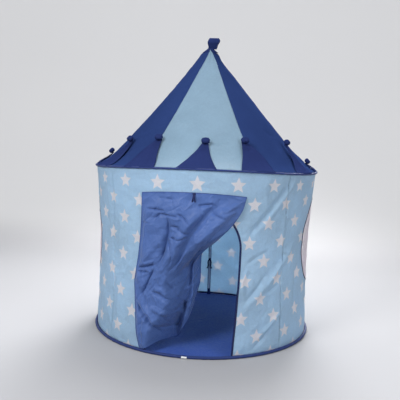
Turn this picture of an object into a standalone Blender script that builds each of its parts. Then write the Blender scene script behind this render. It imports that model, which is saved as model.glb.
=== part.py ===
"""Play tent for children: a round room with a pointed roof, carried by three jointed poles.

Units are metres, +Z is up, the ground is at Z = 0 and the doorway faces -Y.
An azimuth is an angle about the Z axis: 0 is the middle of the doorway and it grows towards +X.
Cloth pieces follow the flat facets of one many-sided ring, so that they seat on each other.
"""
import math

import bmesh
import bpy
import numpy as np
from mathutils import Matrix, Vector

# Whole tent
BASE_OUTSIDE_RADIUS = 0.525
EAVE_OUTSIDE_RADIUS = 0.533
EAVE_HEIGHT = 0.8075
EAVE_FRONT_RISE = 0.007
EAVE_SIDE_DIP = 0.027
APEX_HEIGHT = 1.342
RING_FACETS = 60
CLOTH = 0.001
GAP = 0.0003
OVERRUN = 0.02

# Spring-steel hoops in their sleeves
WIRE_RADIUS = 0.0015
WIRE_SIDES = 5
FERRULE_RADIUS = 0.0024
FERRULE_LENGTH = 0.030
FERRULE_SIDES = 8
BASE_SLEEVE_RADIUS = 0.007
EAVE_SLEEVE_RADIUS = 0.0045
SLEEVE_CLOTH = 0.0012
SLEEVE_SIDES = 5
SLEEVE_SLIT_HALF = math.radians(28)
HOOP_JOINT_AZIMUTH = math.radians(150)

# Round wall in three panels
WALL_ROWS = 4
WALL_WAIST = 0.016
SEAM_AZIMUTH = math.radians(48)
SEAM_TAPE_WIDTH = 0.016
SEAM_TAPE_CLOTH = 0.0008

# Edge binding folded over the cloth of the doorway and the windows
BINDING_CLOTH = 0.0008
BINDING_WIDTH = 0.007
BINDING_EASE = 0.0002
ARC_STEP = math.radians(12)

# Doorway with a round head, a little narrower at the foot
DOOR_HALF_WIDTH = 0.190
DOOR_FOOT_HALF_WIDTH = 0.171
DOOR_SPRING_HEIGHT = 0.475

# Round net windows in both sides
WINDOW_RADIUS = 0.200
WINDOW_HEIGHT = 0.455
NET_PITCH = 0.052
NET_STRAND = 0.003

# Door curtain, sewn on along its top edge, which bows up in the middle; its hem rises to the right
CURTAIN_TOP_HEIGHT = 0.7165
CURTAIN_TOP_BOW = 0.0145
CURTAIN_BOTTOM_HEIGHT = 0.0155
CURTAIN_HEM_RISE = 0.180
CURTAIN_LEFT_AZIMUTH = math.radians(-26.5)
CURTAIN_RIGHT_AZIMUTH = math.radians(23.6)
CURTAIN_CLOTH = 0.0012
CURTAIN_EASE = 0.0004
CURTAIN_STAND_OFF = 0.0055
CURTAIN_REACH_IN = 0.130
CURTAIN_FOLD = 0.012
CURTAIN_EDGE_DOWN_SHARES = (0, 0.11, 0.21, 0.32, 0.445, 0.525, 0.64, 0.8, 0.9, 1)
CURTAIN_EDGE_REACH_SHARES = (1, 0.94, 0.8, 0.59, 0.37, 0.17, 0.12, 0.12, 0.04, -0.03)
CURTAIN_COLUMNS = 24
CURTAIN_ROWS = 23
CURTAIN_TIE_WIDTH = 0.010
CURTAIN_TIE_LENGTH = 0.040
CURTAIN_TIE_DROP = 0.018
CURTAIN_KNOT_HALF_WIDTH = 0.006
CURTAIN_KNOT_HALF_HEIGHT = 0.005
CURTAIN_KNOT_HALF_DEPTH = 0.0016

# Roof of six tapering panels
ROOF_PANELS = 6
ROOF_TOP_RADIUS = 0.028
ROOF_FLARE_SHARE = 0.07
ROOF_FLARE_REACH_SHARE = 0.045
ROOF_ROW_SHARES = (0, 0.025, 0.06, 0.12, 0.4, 0.75, 0.88, 1)

# Crown of pointed flaps standing on the eave, each with a padded knob
FLAP_COUNT = 12
FLAP_HALF_ANGLE = math.radians(9.2)
FLAP_TIP_HALF_ANGLE = math.radians(1.7)
FLAP_FOOT_SHARE = 0.012
FLAP_TIP_SHARE = 0.215
FLAP_ROW_SHARES = (0, 0.2, 0.5, 1)
FLAP_COLUMN_SHARES = (-1, -0.5, 0, 0.5, 1)
FLAP_LIFT = 0.0006
KNOB_HALF_LENGTH = 0.015
KNOB_HALF_HEIGHT = 0.010
KNOB_HALF_DEPTH = 0.009

# Patch and hanging loop on the apex
PATCH_RIM = 0.003
PATCH_CLOTH = 0.0012
LOOP_TAPE = 0.0015
LOOP_BEND_RADIUS = 0.017
LOOP_BEND_HEIGHT = 0.037
LOOP_FOOT_WIDTH = 0.036
LOOP_TOP_WIDTH = 0.054
LOOP_STEPS = 14

# Three jointed poles
POLE_AZIMUTHS = (SEAM_AZIMUTH, -SEAM_AZIMUTH, math.pi)
POLE_RADIUS = 0.0045
POLE_SIDES = 8
ELBOW_HEIGHT = 0.782
ELBOW_WALL = 0.0017
ELBOW_SOCKET = 0.032
ELBOW_THROAT = 0.006
POCKET_CLOTH = 0.0012
POCKET_HEIGHT = 0.035
POCKET_FLANGE = 0.0055
HUB_HEIGHT = 1.316
HUB_RADIUS = 0.012
HUB_DEPTH = 0.030
HUB_SOCKET = 0.046
HUB_SOCKET_WALL = 0.0022
HUB_SEAT = 0.020

# Ribbons that tie each pole to the wall seam
TIE_HEIGHTS = (0.210, 0.520)
TIE_CLOTH = 0.001
TIE_WIDTH = 0.008
TIE_TAIL_LENGTH = 0.055
TIE_TAIL_SPREAD = 0.012

# Blank tag sewn to the base sleeve
TAG_AZIMUTH = math.radians(-3)
TAG_WIDTH = 0.024
TAG_HEIGHT = 0.009
TAG_CLOTH = 0.0006

# Derived places
FACET = 2 * math.pi / RING_FACETS
BASE_RING_RADIUS = BASE_OUTSIDE_RADIUS - BASE_SLEEVE_RADIUS
EAVE_RING_RADIUS = EAVE_OUTSIDE_RADIUS - EAVE_SLEEVE_RADIUS
WALL_BOTTOM = 2 * BASE_SLEEVE_RADIUS + GAP
WALL_TOP = EAVE_HEIGHT - EAVE_SLEEVE_RADIUS - GAP
ROOF_BOTTOM = EAVE_HEIGHT + EAVE_SLEEVE_RADIUS + GAP
OPENINGS_TOP = max(DOOR_SPRING_HEIGHT + DOOR_HALF_WIDTH, WINDOW_HEIGHT + WINDOW_RADIUS)
WALL_SHOULDER = OPENINGS_TOP + 2 * BINDING_WIDTH
FLOOR_TOP = CLOTH
POLE_BORE_RADIUS = POLE_RADIUS + GAP


def remove_all():
    for item in list(bpy.data.objects):
        bpy.data.objects.remove(item)


def make_material(name, color, roughness, metallic=0.0):
    material = bpy.data.materials.new(name)
    material.use_nodes = True
    shader = material.node_tree.nodes["Principled BSDF"]
    shader.inputs["Base Color"].default_value = (*color, 1)
    shader.inputs["Roughness"].default_value = roughness
    shader.inputs["Metallic"].default_value = metallic
    return material


def add_object(name, mesh, material, smooth=True):
    item = bpy.data.objects.new(name, mesh)
    bpy.context.scene.collection.objects.link(item)
    mesh.materials.clear()
    mesh.materials.append(material)
    if smooth:
        mesh.shade_smooth()
        mesh.set_sharp_from_angle(angle=math.radians(35))
    return item


def polar(radius, azimuth, height):
    return Vector((radius * math.sin(azimuth), -radius * math.cos(azimuth), height))


def on_facets(azimuth):
    """Share of the corner radius that the ring's flat facets have at this azimuth."""
    half = FACET / 2
    return math.cos(half) / math.cos(azimuth % FACET - half)


def ring_azimuths(start, end):
    """The two ends and every facet corner between them."""
    first = math.floor(start / FACET) + 1
    last = math.ceil(end / FACET) - 1
    return [start] + [step * FACET for step in range(first, last + 1)] + [end]


def loft(name, rings, material, closed=False):
    """Skin over closed rings of points; an open row of rings gets a cap at each end."""
    work = bmesh.new()
    rows = [[work.verts.new(point) for point in ring] for ring in rings]
    count = len(rows[0])
    last = len(rows) if closed else len(rows) - 1
    for row in range(last):
        here = rows[row]
        there = rows[(row + 1) % len(rows)]
        for side in range(count):
            beside = (side + 1) % count
            work.faces.new((here[side], here[beside], there[beside], there[side]))
    if not closed:
        work.faces.new(rows[0])
        work.faces.new(rows[-1])
    return finish_mesh(name, work, material)


def sheet(name, outer, inner, material):
    """Thin closed solid between two grids of points, each a list of rows."""
    work = bmesh.new()
    front = [[work.verts.new(point) for point in row] for row in outer]
    back = [[work.verts.new(point) for point in row] for row in inner]
    rows = len(front)
    columns = len(front[0])
    for row in range(rows - 1):
        for column in range(columns - 1):
            for grid in (front, back):
                work.faces.new((grid[row][column], grid[row][column + 1],
                                grid[row + 1][column + 1], grid[row + 1][column]))
    for row in range(rows - 1):
        for column in (0, columns - 1):
            work.faces.new((front[row][column], front[row + 1][column],
                            back[row + 1][column], back[row][column]))
    for column in range(columns - 1):
        for row in (0, rows - 1):
            work.faces.new((front[row][column], front[row][column + 1],
                            back[row][column + 1], back[row][column]))
    return finish_mesh(name, work, material)


def finish_mesh(name, work, material):
    bmesh.ops.recalc_face_normals(work, faces=work.faces[:])
    mesh = bpy.data.meshes.new(name)
    work.to_mesh(mesh)
    work.free()
    return add_object(name, mesh, material)


def cut_with(item, cutter, operation="DIFFERENCE"):
    cutter.hide_render = True
    cutter.display_type = "WIRE"
    step = item.modifiers.new(cutter.name, "BOOLEAN")
    step.operation = operation
    step.solver = "EXACT"
    step.object = cutter
    return step


def settle(item):
    """Mesh of an item with its modifiers applied; the item itself is removed."""
    bpy.context.view_layer.update()
    shape = item.evaluated_get(bpy.context.evaluated_depsgraph_get())
    mesh = bpy.data.meshes.new_from_object(shape)
    bpy.data.objects.remove(item)
    return mesh


def unite(first, others):
    for other in others:
        cut_with(first, other, "UNION")
    mesh = settle(first)
    for other in others:
        bpy.data.objects.remove(other)
    return mesh


def turned_copies(names, mesh, azimuths, material):
    """One object for each azimuth, all sharing a mesh that was made at azimuth 0."""
    for name, azimuth in zip(names, azimuths):
        item = add_object(name, mesh, material)
        item.rotation_euler.z = azimuth


# Wall surface

def wall_row_heights():
    rows = [WALL_BOTTOM + (WALL_TOP - WALL_BOTTOM) * row / WALL_ROWS for row in range(WALL_ROWS + 1)]
    return sorted(rows + [WALL_SHOULDER])


def wall_radius(height):
    """Taper from hoop to hoop, drawn in at mid height; straight between the wall's rows."""
    heights = wall_row_heights()
    radii = []
    for place in heights:
        share = (place - WALL_BOTTOM) / (WALL_TOP - WALL_BOTTOM)
        taper = BASE_RING_RADIUS + (EAVE_RING_RADIUS - BASE_RING_RADIUS) * share
        radii.append(taper - WALL_WAIST * math.sin(math.pi * share))
    return float(np.interp(height, heights, radii))


def heights_between(low, high):
    inside = [height for height in wall_row_heights() if low < height < high]
    return [low] + inside + [high]


def wall_point(x, height, offset):
    """Point on the facets of the front wall at sideways place x, moved outwards by offset."""
    radius = wall_radius(height)
    corners = np.arange(-RING_FACETS // 4, RING_FACETS // 4 + 1) * FACET
    y = -float(np.interp(x, radius * np.sin(corners), radius * np.cos(corners)))
    outward = Vector((x, y, 0)).normalized()
    return Vector((x, y, height)) + outward * offset


def wall_panel(name, start, end, material):
    rows = []
    for side in (CLOTH / 2, -CLOTH / 2):
        grid = []
        for height in wall_row_heights():
            radius = wall_radius(height)
            trim = GAP / 2 / radius
            azimuths = ring_azimuths(start + trim, end - trim)
            grid.append([polar(radius * on_facets(a) + side, a, height) for a in azimuths])
        rows.append(grid)
    return sheet(name, rows[0], rows[1], material)


def prism(name, outline, near, far, azimuth=0.0):
    """Solid bar along Y with an outline of (x, z) points, turned to an azimuth."""
    rings = [[Vector((x, y, z)) for x, z in outline] for y in (near, far)]
    item = loft(name, rings, materials["cutter"])
    item.rotation_euler.z = azimuth
    return item


def crossing_turns(reach, height):
    """Turns at which a circle lying on the wall crosses the wall's facet corners and rows."""
    turns = [math.pi * quarter / 2 for quarter in range(4)]
    for row in wall_row_heights():
        if abs(row - height) < reach:
            turn = math.asin((row - height) / reach)
            turns += [turn % (2 * math.pi), math.pi - turn]
    for step in range(-RING_FACETS // 4, RING_FACETS // 4 + 1):
        for side in (1, -1):
            level = height
            for _ in range(8):
                x = wall_radius(level) * math.sin(step * FACET)
                level = height + side * math.sqrt(max(0, reach ** 2 - x ** 2))
            if abs(x) < reach:
                turns.append(math.atan2(level - height, x) % (2 * math.pi))
    return sorted(turns)


def arc_stations(reach, height, start, end):
    """Stations from turn to turn round a circle on the wall: place and direction to its middle."""
    corners = [start] + [turn for turn in crossing_turns(reach, height) if start < turn < end] + [end]
    turns = []
    for first, last in zip(corners, corners[1:]):
        parts = max(1, round((last - first) / ARC_STEP))
        turns += [first + (last - first) * part / parts for part in range(parts)]
    kept = [turns[0]]
    for turn in turns[1:] + [end]:
        if turn - kept[-1] > ARC_STEP / 4:
            kept.append(turn)
    return [(reach * math.cos(turn), height + reach * math.sin(turn), -math.cos(turn), -math.sin(turn))
            for turn in kept]


def door_reach(height):
    """Half the doorway's width below its round head: a quarter sine from foot to spring line."""
    share = (height - WALL_BOTTOM) / (DOOR_SPRING_HEIGHT - WALL_BOTTOM)
    return DOOR_FOOT_HALF_WIDTH + (DOOR_HALF_WIDTH - DOOR_FOOT_HALF_WIDTH) * math.sin(math.pi / 2 * share)


def door_path():
    """Stations up one side of the doorway, round its head and down: place and inward direction."""
    legs = heights_between(WALL_BOTTOM, DOOR_SPRING_HEIGHT)[:-1]
    right = [(door_reach(height), height, -1.0, 0.0) for height in legs]
    left = [(-door_reach(height), height, 1.0, 0.0) for height in reversed(legs)]
    return right + arc_stations(DOOR_HALF_WIDTH, DOOR_SPRING_HEIGHT, 0, math.pi) + left


def window_path():
    return arc_stations(WINDOW_RADIUS, WINDOW_HEIGHT, 0, 2 * math.pi)[:-1]


def folded_binding(name, stations, closed, material):
    """Tape folded over the cloth's cut edge, seen in section as a U, along an opening's edge."""
    near = CLOTH / 2 + GAP + BINDING_EASE
    far = near + BINDING_CLOTH
    lip = GAP + BINDING_CLOTH
    section = ((lip, far), (-BINDING_WIDTH, far), (-BINDING_WIDTH, near), (GAP, near),
               (GAP, -near), (-BINDING_WIDTH, -near), (-BINDING_WIDTH, -far), (lip, -far))
    rings = []
    for x, height, inward_x, inward_z in stations:
        rings.append([wall_point(x + along * inward_x, height + along * inward_z, offset)
                      for along, offset in section])
    return loft(name, rings, material, closed)


def make_walls():
    front = wall_panel("wall_front", -SEAM_AZIMUTH, SEAM_AZIMUTH, materials["star_cloth"])
    outline = [(x, z) for x, z, _, _ in door_path()]
    outline = [(outline[0][0], WALL_BOTTOM - OVERRUN)] + outline + [(outline[-1][0], WALL_BOTTOM - OVERRUN)]
    cut_with(front, prism("doorway_cutter", outline, -BASE_OUTSIDE_RADIUS - OVERRUN, -BASE_OUTSIDE_RADIUS / 2))
    folded_binding("door_binding", door_path(), False, materials["navy_binding"])

    window = [(x, z) for x, z, _, _ in window_path()]
    sides = (("wall_right", SEAM_AZIMUTH, math.pi, math.pi / 2), ("wall_left", -math.pi, -SEAM_AZIMUTH, -math.pi / 2))
    for name, start, end, facing in sides:
        panel = wall_panel(name, start, end, materials["star_cloth"])
        cutter = prism(name + "_window_cutter", window, -BASE_OUTSIDE_RADIUS - OVERRUN,
                       -BASE_OUTSIDE_RADIUS / 2, facing)
        cut_with(panel, cutter)


def make_windows():
    """Net and binding are made in the front wall's place and turned to both sides."""
    facings = (math.pi / 2, -math.pi / 2)
    rim = folded_binding("window_rim", window_path(), True, materials["navy_binding"])
    turned_copies(("window_binding_right", "window_binding_left"), settle(rim), facings, materials["navy_binding"])

    reach = WINDOW_RADIUS - 2 * GAP - BINDING_CLOTH
    span = 2 * math.asin(WINDOW_RADIUS / wall_radius(WINDOW_HEIGHT))
    azimuths = ring_azimuths(-span / 2 - FACET, span / 2 + FACET)
    grids = []
    for side in (CLOTH / 2, -CLOTH / 2):
        heights = heights_between(WINDOW_HEIGHT - WINDOW_RADIUS - OVERRUN, WINDOW_HEIGHT + WINDOW_RADIUS + OVERRUN)
        grids.append([[polar(wall_radius(h) * on_facets(a) + side, a, h) for a in azimuths] for h in heights])
    net = sheet("net", grids[0], grids[1], materials["net"])
    near = -BASE_OUTSIDE_RADIUS - OVERRUN
    far = -BASE_OUTSIDE_RADIUS / 2
    outline = [(x, z) for x, z, _, _ in arc_stations(reach, WINDOW_HEIGHT, 0, 2 * math.pi)[:-1]]
    disc = prism("net_disc", outline, near, far)
    cut_with(net, disc, "INTERSECT")
    holes = net_holes(reach, near, far)
    cut_with(net, holes)
    mesh = settle(net)
    bpy.data.objects.remove(disc)
    bpy.data.objects.remove(holes)
    turned_copies(("window_net_right", "window_net_left"), mesh, facings, materials["net"])


def net_holes(reach, near, far):
    """Square bars, one for each gap of the net that lies wholly inside its edge."""
    half = (NET_PITCH - NET_STRAND) / 2
    count = math.ceil(reach / NET_PITCH)
    work = bmesh.new()
    for column in range(-count, count):
        for row in range(-count, count):
            x = (column + 0.5) * NET_PITCH
            z = (row + 0.5) * NET_PITCH
            if math.hypot(abs(x) + half, abs(z) + half) > reach - NET_STRAND:
                continue
            place = Matrix.Translation((x, (near + far) / 2, WINDOW_HEIGHT + z))
            size = Matrix.Diagonal((2 * half, far - near, 2 * half, 1))
            bmesh.ops.create_cube(work, size=1, matrix=place @ size)
    return finish_mesh("net_holes", work, materials["cutter"])


# Hoops and floor

def sleeve_section(radius):
    """Open ring in section, slit on the side of the tent's axis; (outwards, up) from its centre."""
    reach = math.pi - SLEEVE_SLIT_HALF
    turns = [-reach + 2 * reach * step / SLEEVE_SIDES for step in range(SLEEVE_SIDES + 1)]
    outer = [(radius * math.cos(turn), radius * math.sin(turn)) for turn in turns]
    inner = [((radius - SLEEVE_CLOTH) * math.cos(turn), (radius - SLEEVE_CLOTH) * math.sin(turn))
             for turn in reversed(turns)]
    return outer + inner


def hoop(name, ring_radius, height, sleeve_radius, color):
    """Sleeve all round, an open wire pressed towards its outside, and a ferrule over the wire's ends."""
    section = sleeve_section(sleeve_radius)
    rings = []
    for step in range(RING_FACETS):
        rings.append([polar(ring_radius + out, step * FACET, height + up) for out, up in section])
    loft(name + "_sleeve", rings, materials[color], closed=True)

    flat = math.pi - SLEEVE_SLIT_HALF
    inside = (sleeve_radius - SLEEVE_CLOTH) * math.cos(flat / SLEEVE_SIDES)
    wire_radius = ring_radius + max(0, inside - FERRULE_RADIUS - GAP)
    split = GAP / wire_radius
    azimuths = ring_azimuths(HOOP_JOINT_AZIMUTH + split, HOOP_JOINT_AZIMUTH + 2 * math.pi - split)
    rings = [round_section(wire_radius * on_facets(a), a, height, WIRE_RADIUS, WIRE_SIDES) for a in azimuths]
    loft(name + "_wire", rings, materials["spring_steel"])

    half = FERRULE_LENGTH / 2 / wire_radius
    stations = [HOOP_JOINT_AZIMUTH - half, HOOP_JOINT_AZIMUTH, HOOP_JOINT_AZIMUTH + half]
    outer = [round_section(wire_radius * on_facets(a), a, height, FERRULE_RADIUS, FERRULE_SIDES) for a in stations]
    bore = [round_section(wire_radius * on_facets(a), a, height, WIRE_RADIUS + GAP, FERRULE_SIDES)
            for a in reversed(stations)]
    loft(name + "_ferrule", outer + bore, materials["zinc"], closed=True)


def round_section(ring_radius, azimuth, height, radius, sides):
    ring = []
    for side in range(sides):
        turn = 2 * math.pi * side / sides
        ring.append(polar(ring_radius + radius * math.cos(turn), azimuth, height + radius * math.sin(turn)))
    return ring


def make_floor():
    reach = BASE_RING_RADIUS - BASE_SLEEVE_RADIUS / 2 - GAP
    azimuths = [step * FACET for step in range(RING_FACETS)]
    rings = [[polar(reach, a, height) for a in azimuths] for height in (0, CLOTH)]
    loft("floor_sheet", rings, materials["navy_floor"])


def make_seam_tapes():
    """Tape over each wall seam, inside, bent along the facet corner that it covers."""
    far = CLOTH / 2 + GAP + SEAM_TAPE_CLOTH
    near = CLOTH / 2 + GAP
    names = ("seam_tape_right", "seam_tape_left", "seam_tape_back")
    grids = []
    for inset in (near, far):
        grid = []
        for height in wall_row_heights():
            radius = wall_radius(height)
            half = SEAM_TAPE_WIDTH / 2 / radius
            grid.append([polar(radius * on_facets(a) - inset, a, height) for a in (-half, 0, half)])
        grids.append(grid)
    tape = sheet("tape", grids[0], grids[1], materials["navy_binding"])
    turned_copies(names, settle(tape), POLE_AZIMUTHS, materials["navy_binding"])


# Roof

def roof_profile(share):
    """Radius and height of the roof cloth from the eave, 0, to the apex, 1; straight between its rows.

    A straight cone flares out to the eave hoop over its lowest part and keeps a small ring at the top.
    """
    radii = []
    for row in ROOF_ROW_SHARES:
        cone = (1 - ROOF_FLARE_SHARE) * (1 - row) + ROOF_FLARE_SHARE * math.exp(-row / ROOF_FLARE_REACH_SHARE)
        radii.append(EAVE_RING_RADIUS * cone + ROOF_TOP_RADIUS * row ** 4)
    radius = float(np.interp(share, ROOF_ROW_SHARES, radii))
    return radius, ROOF_BOTTOM + (APEX_HEIGHT - ROOF_BOTTOM) * share


def roof_slope():
    """Angle of the straight part of the roof above the level."""
    low_radius, low = roof_profile(0.2)
    high_radius, high = roof_profile(0.6)
    return math.atan2(high - low, low_radius - high_radius)


def roof_point(share, azimuth, offset):
    """Point on the roof's facets, moved outwards square to the slope by offset."""
    radius, height = roof_profile(share)
    slope = roof_slope()
    return polar(radius * on_facets(azimuth) + offset * math.sin(slope), azimuth, height + offset * math.cos(slope))


def make_roof():
    half = math.pi / ROOF_PANELS
    grids = []
    for side in (CLOTH / 2, -CLOTH / 2):
        grid = []
        for share in ROOF_ROW_SHARES:
            trim = GAP / 2 / roof_profile(share)[0]
            ends = half - trim
            inside = ring_azimuths(-half, half)[1:-1]
            grid.append([roof_point(share, a, side) for a in [-ends] + inside + [ends]])
        grids.append(grid)
    panel = sheet("roof_panel", grids[0], grids[1], materials["light_cloth"])
    mesh = settle(panel)
    for number in range(ROOF_PANELS):
        pale = number % 2 == 0
        name = f"roof_panel_{number + 1}"
        color = materials["light_cloth"] if pale else materials["dark_cloth"]
        item = add_object(name, mesh if pale else mesh.copy(), color)
        item.rotation_euler.z = number * 2 * half


def make_crown():
    """Flaps lie over the roof panels from just above the eave sleeve; the knob is sewn to the tip."""
    foot = CLOTH + GAP + FLAP_LIFT
    grids = []
    for side in (CLOTH / 2, -CLOTH / 2):
        grid = []
        for row in FLAP_ROW_SHARES:
            share = FLAP_FOOT_SHARE + (FLAP_TIP_SHARE - FLAP_FOOT_SHARE) * row
            half = FLAP_HALF_ANGLE + (FLAP_TIP_HALF_ANGLE - FLAP_HALF_ANGLE) * row
            grid.append([roof_point(share, half * column, foot + side) for column in FLAP_COLUMN_SHARES])
        grids.append(grid)
    flap = sheet("flap", grids[0], grids[1], materials["navy_cloth"])

    slope = roof_slope()
    centre = roof_point(FLAP_TIP_SHARE, 0, CLOTH / 2 + GAP + FLAP_LIFT + KNOB_HALF_DEPTH)
    size = Matrix.Diagonal((KNOB_HALF_LENGTH, KNOB_HALF_DEPTH, KNOB_HALF_HEIGHT, 1))
    tilt = Matrix.Rotation(slope - math.pi / 2, 4, "X")
    work = bmesh.new()
    bmesh.ops.create_uvsphere(work, u_segments=8, v_segments=5, radius=1, matrix=Matrix.Translation(centre) @ tilt @ size)
    knob = finish_mesh("knob", work, materials["navy_cloth"])
    mesh = unite(flap, [knob])
    azimuths = [2 * math.pi * number / FLAP_COUNT for number in range(FLAP_COUNT)]
    names = [f"crown_flap_{number + 1:02d}" for number in range(FLAP_COUNT)]
    turned_copies(names, mesh, azimuths, materials["navy_cloth"])


def make_apex():
    patch_bottom = APEX_HEIGHT + CLOTH / 2 + GAP
    patch_top = patch_bottom + PATCH_CLOTH
    reach = ROOF_TOP_RADIUS + PATCH_RIM
    azimuths = [2 * math.pi * step / POLE_SIDES / 2 for step in range(2 * POLE_SIDES)]
    rings = [[polar(reach, a, height) for a in azimuths] for height in (patch_bottom, patch_top)]
    loft("apex_patch", rings, materials["navy_cloth"])

    foot = patch_top + GAP
    lean = math.asin(LOOP_BEND_RADIUS / LOOP_BEND_HEIGHT)
    spare = LOOP_TAPE / 2 / math.sin(lean)
    top = LOOP_BEND_HEIGHT + LOOP_BEND_RADIUS
    sweep = math.pi + 2 * lean
    curves = []
    for side in (1, -1):
        radius = LOOP_BEND_RADIUS + side * LOOP_TAPE / 2
        line = [(0, spare - side * spare)]
        for step in range(LOOP_STEPS + 1):
            turn = -lean + sweep * step / LOOP_STEPS
            line.append((radius * math.cos(turn), spare + LOOP_BEND_HEIGHT + radius * math.sin(turn)))
        curves.append(line)
    rings = []
    for (out_y, out_z), (in_y, in_z) in zip(curves[0], curves[1]):
        share = min(1, out_z / top)
        half = (LOOP_FOOT_WIDTH + (LOOP_TOP_WIDTH - LOOP_FOOT_WIDTH) * share) / 2
        rings.append([Vector((half, out_y, foot + out_z)), Vector((-half, out_y, foot + out_z)),
                      Vector((-half, in_y, foot + in_z)), Vector((half, in_y, foot + in_z))])
    loft("hanging_loop", rings, materials["navy_cloth"], closed=True)


# Bend of the eave

def eave_bend(azimuth):
    """Height of the eave hoop over a level one: spring wire that dips at both sides, like a saddle."""
    middle = (EAVE_FRONT_RISE - EAVE_SIDE_DIP) / 2
    return middle + (EAVE_FRONT_RISE + EAVE_SIDE_DIP) / 2 * math.cos(2 * azimuth)


def follow_eave(name_starts):
    """Hoop, upper wall and roof cloth move with the bend, less and less towards the shoulder and the apex."""
    levels = (WALL_SHOULDER, WALL_TOP, ROOF_BOTTOM, APEX_HEIGHT)
    for item in bpy.data.objects:
        if item.hide_render or not item.name.startswith(name_starts):
            continue
        item.data = item.data.copy()
        for vertex in item.data.vertices:
            azimuth = math.atan2(vertex.co.x, -vertex.co.y) + item.rotation_euler.z
            vertex.co.z += eave_bend(azimuth) * float(np.interp(vertex.co.z, levels, (0, 1, 1, 0)))


# Poles, all made in the plane of azimuth 0 and turned to their places

def pole_ring_radius():
    """Poles stand as close to the narrowest part of the wall as the seam tape and a ribbon allow."""
    narrow = min(wall_radius(height) for height in wall_row_heights())
    return narrow - CLOTH / 2 - GAP - SEAM_TAPE_CLOTH - GAP - TIE_CLOTH - GAP - POLE_RADIUS


def elbow_place():
    return polar(pole_ring_radius(), 0, ELBOW_HEIGHT)


def rafter_direction():
    """From the elbow up to the middle of the hub."""
    return (Vector((0, 0, HUB_HEIGHT)) - elbow_place()).normalized()


def section_across(centre, direction, radius, sides=POLE_SIDES, stretch=1.0):
    """Round section square to a direction in the plane x = 0; stretch lengthens it in that plane."""
    side = Vector((1, 0, 0))
    other = direction.cross(side).normalized()
    ring = []
    for step in range(sides):
        turn = 2 * math.pi * step / sides
        ring.append(centre + side * radius * math.cos(turn) + other * radius * math.sin(turn) * stretch)
    return ring


def rod(name, start, end, radius, material):
    direction = (end - start).normalized()
    return loft(name, [section_across(point, direction, radius) for point in (start, end)], material)


def make_poles():
    up = Vector((0, 0, 1))
    bend = elbow_place()
    rafter = rafter_direction()
    sides = ("right", "left", "back")
    foot = FLOOR_TOP + GAP + POCKET_CLOTH + GAP
    lower = rod("lower", polar(pole_ring_radius(), 0, foot), bend - up * ELBOW_THROAT, POLE_RADIUS, materials["pole"])
    turned_copies([f"pole_lower_{side}" for side in sides], settle(lower), POLE_AZIMUTHS, materials["pole"])

    hub_end = Vector((0, 0, HUB_HEIGHT)) - rafter * (HUB_SEAT + GAP)
    upper = rod("upper", bend + rafter * ELBOW_THROAT, hub_end, POLE_RADIUS, materials["pole"])
    turned_copies([f"pole_upper_{side}" for side in sides], settle(upper), POLE_AZIMUTHS, materials["pole"])

    mitre = (up + rafter).normalized()
    stretch = 1 / mitre.dot(up)
    lines = []
    for radius in (POLE_BORE_RADIUS + ELBOW_WALL, POLE_BORE_RADIUS):
        lines.append([section_across(bend - up * ELBOW_SOCKET, up, radius),
                      section_across(bend, mitre, radius, stretch=stretch),
                      section_across(bend + rafter * ELBOW_SOCKET, rafter, radius)])
    elbow = loft("elbow", lines[0] + lines[1][::-1], materials["connector"], closed=True)
    turned_copies([f"pole_elbow_{side}" for side in sides], settle(elbow), POLE_AZIMUTHS, materials["connector"])

    centre = polar(pole_ring_radius(), 0, FLOOR_TOP + GAP)
    outer = POLE_BORE_RADIUS + POCKET_CLOTH
    steps = ((outer + POCKET_FLANGE, 0), (outer + POCKET_FLANGE, POCKET_CLOTH), (outer, POCKET_CLOTH),
             (outer, POCKET_HEIGHT), (POLE_BORE_RADIUS, POCKET_HEIGHT), (POLE_BORE_RADIUS, POCKET_CLOTH))
    rings = [section_across(centre + up * height, up, radius) for radius, height in steps]
    pocket = loft("pocket", rings, materials["navy_cloth"])
    turned_copies([f"pole_pocket_{side}" for side in sides], settle(pocket), POLE_AZIMUTHS, materials["navy_cloth"])


def make_hub():
    """Boss under the apex patch with a blind socket for the top of each pole."""
    rafter = rafter_direction()
    middle = Vector((0, 0, HUB_HEIGHT))
    top = Vector((0, 0, APEX_HEIGHT + CLOTH / 2))
    bottom = middle - Vector((0, 0, HUB_DEPTH - HUB_RADIUS))
    boss = loft("apex_hub", [section_across(point, Vector((0, 0, 1)), HUB_RADIUS, 2 * POLE_SIDES)
                             for point in (bottom, top)], materials["connector"])
    for number, azimuth in enumerate(POLE_AZIMUTHS):
        arm = rod(f"hub_arm_{number + 1}", middle, middle - rafter * HUB_SOCKET,
                  POLE_BORE_RADIUS + HUB_SOCKET_WALL, materials["cutter"])
        arm.rotation_euler.z = azimuth
        cut_with(boss, arm, "UNION")
    for number, azimuth in enumerate(POLE_AZIMUTHS):
        bore = rod(f"hub_bore_{number + 1}", middle - rafter * HUB_SEAT, middle - rafter * (HUB_SOCKET + OVERRUN),
                   POLE_BORE_RADIUS, materials["cutter"])
        bore.rotation_euler.z = azimuth
        cut_with(boss, bore)


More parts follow.
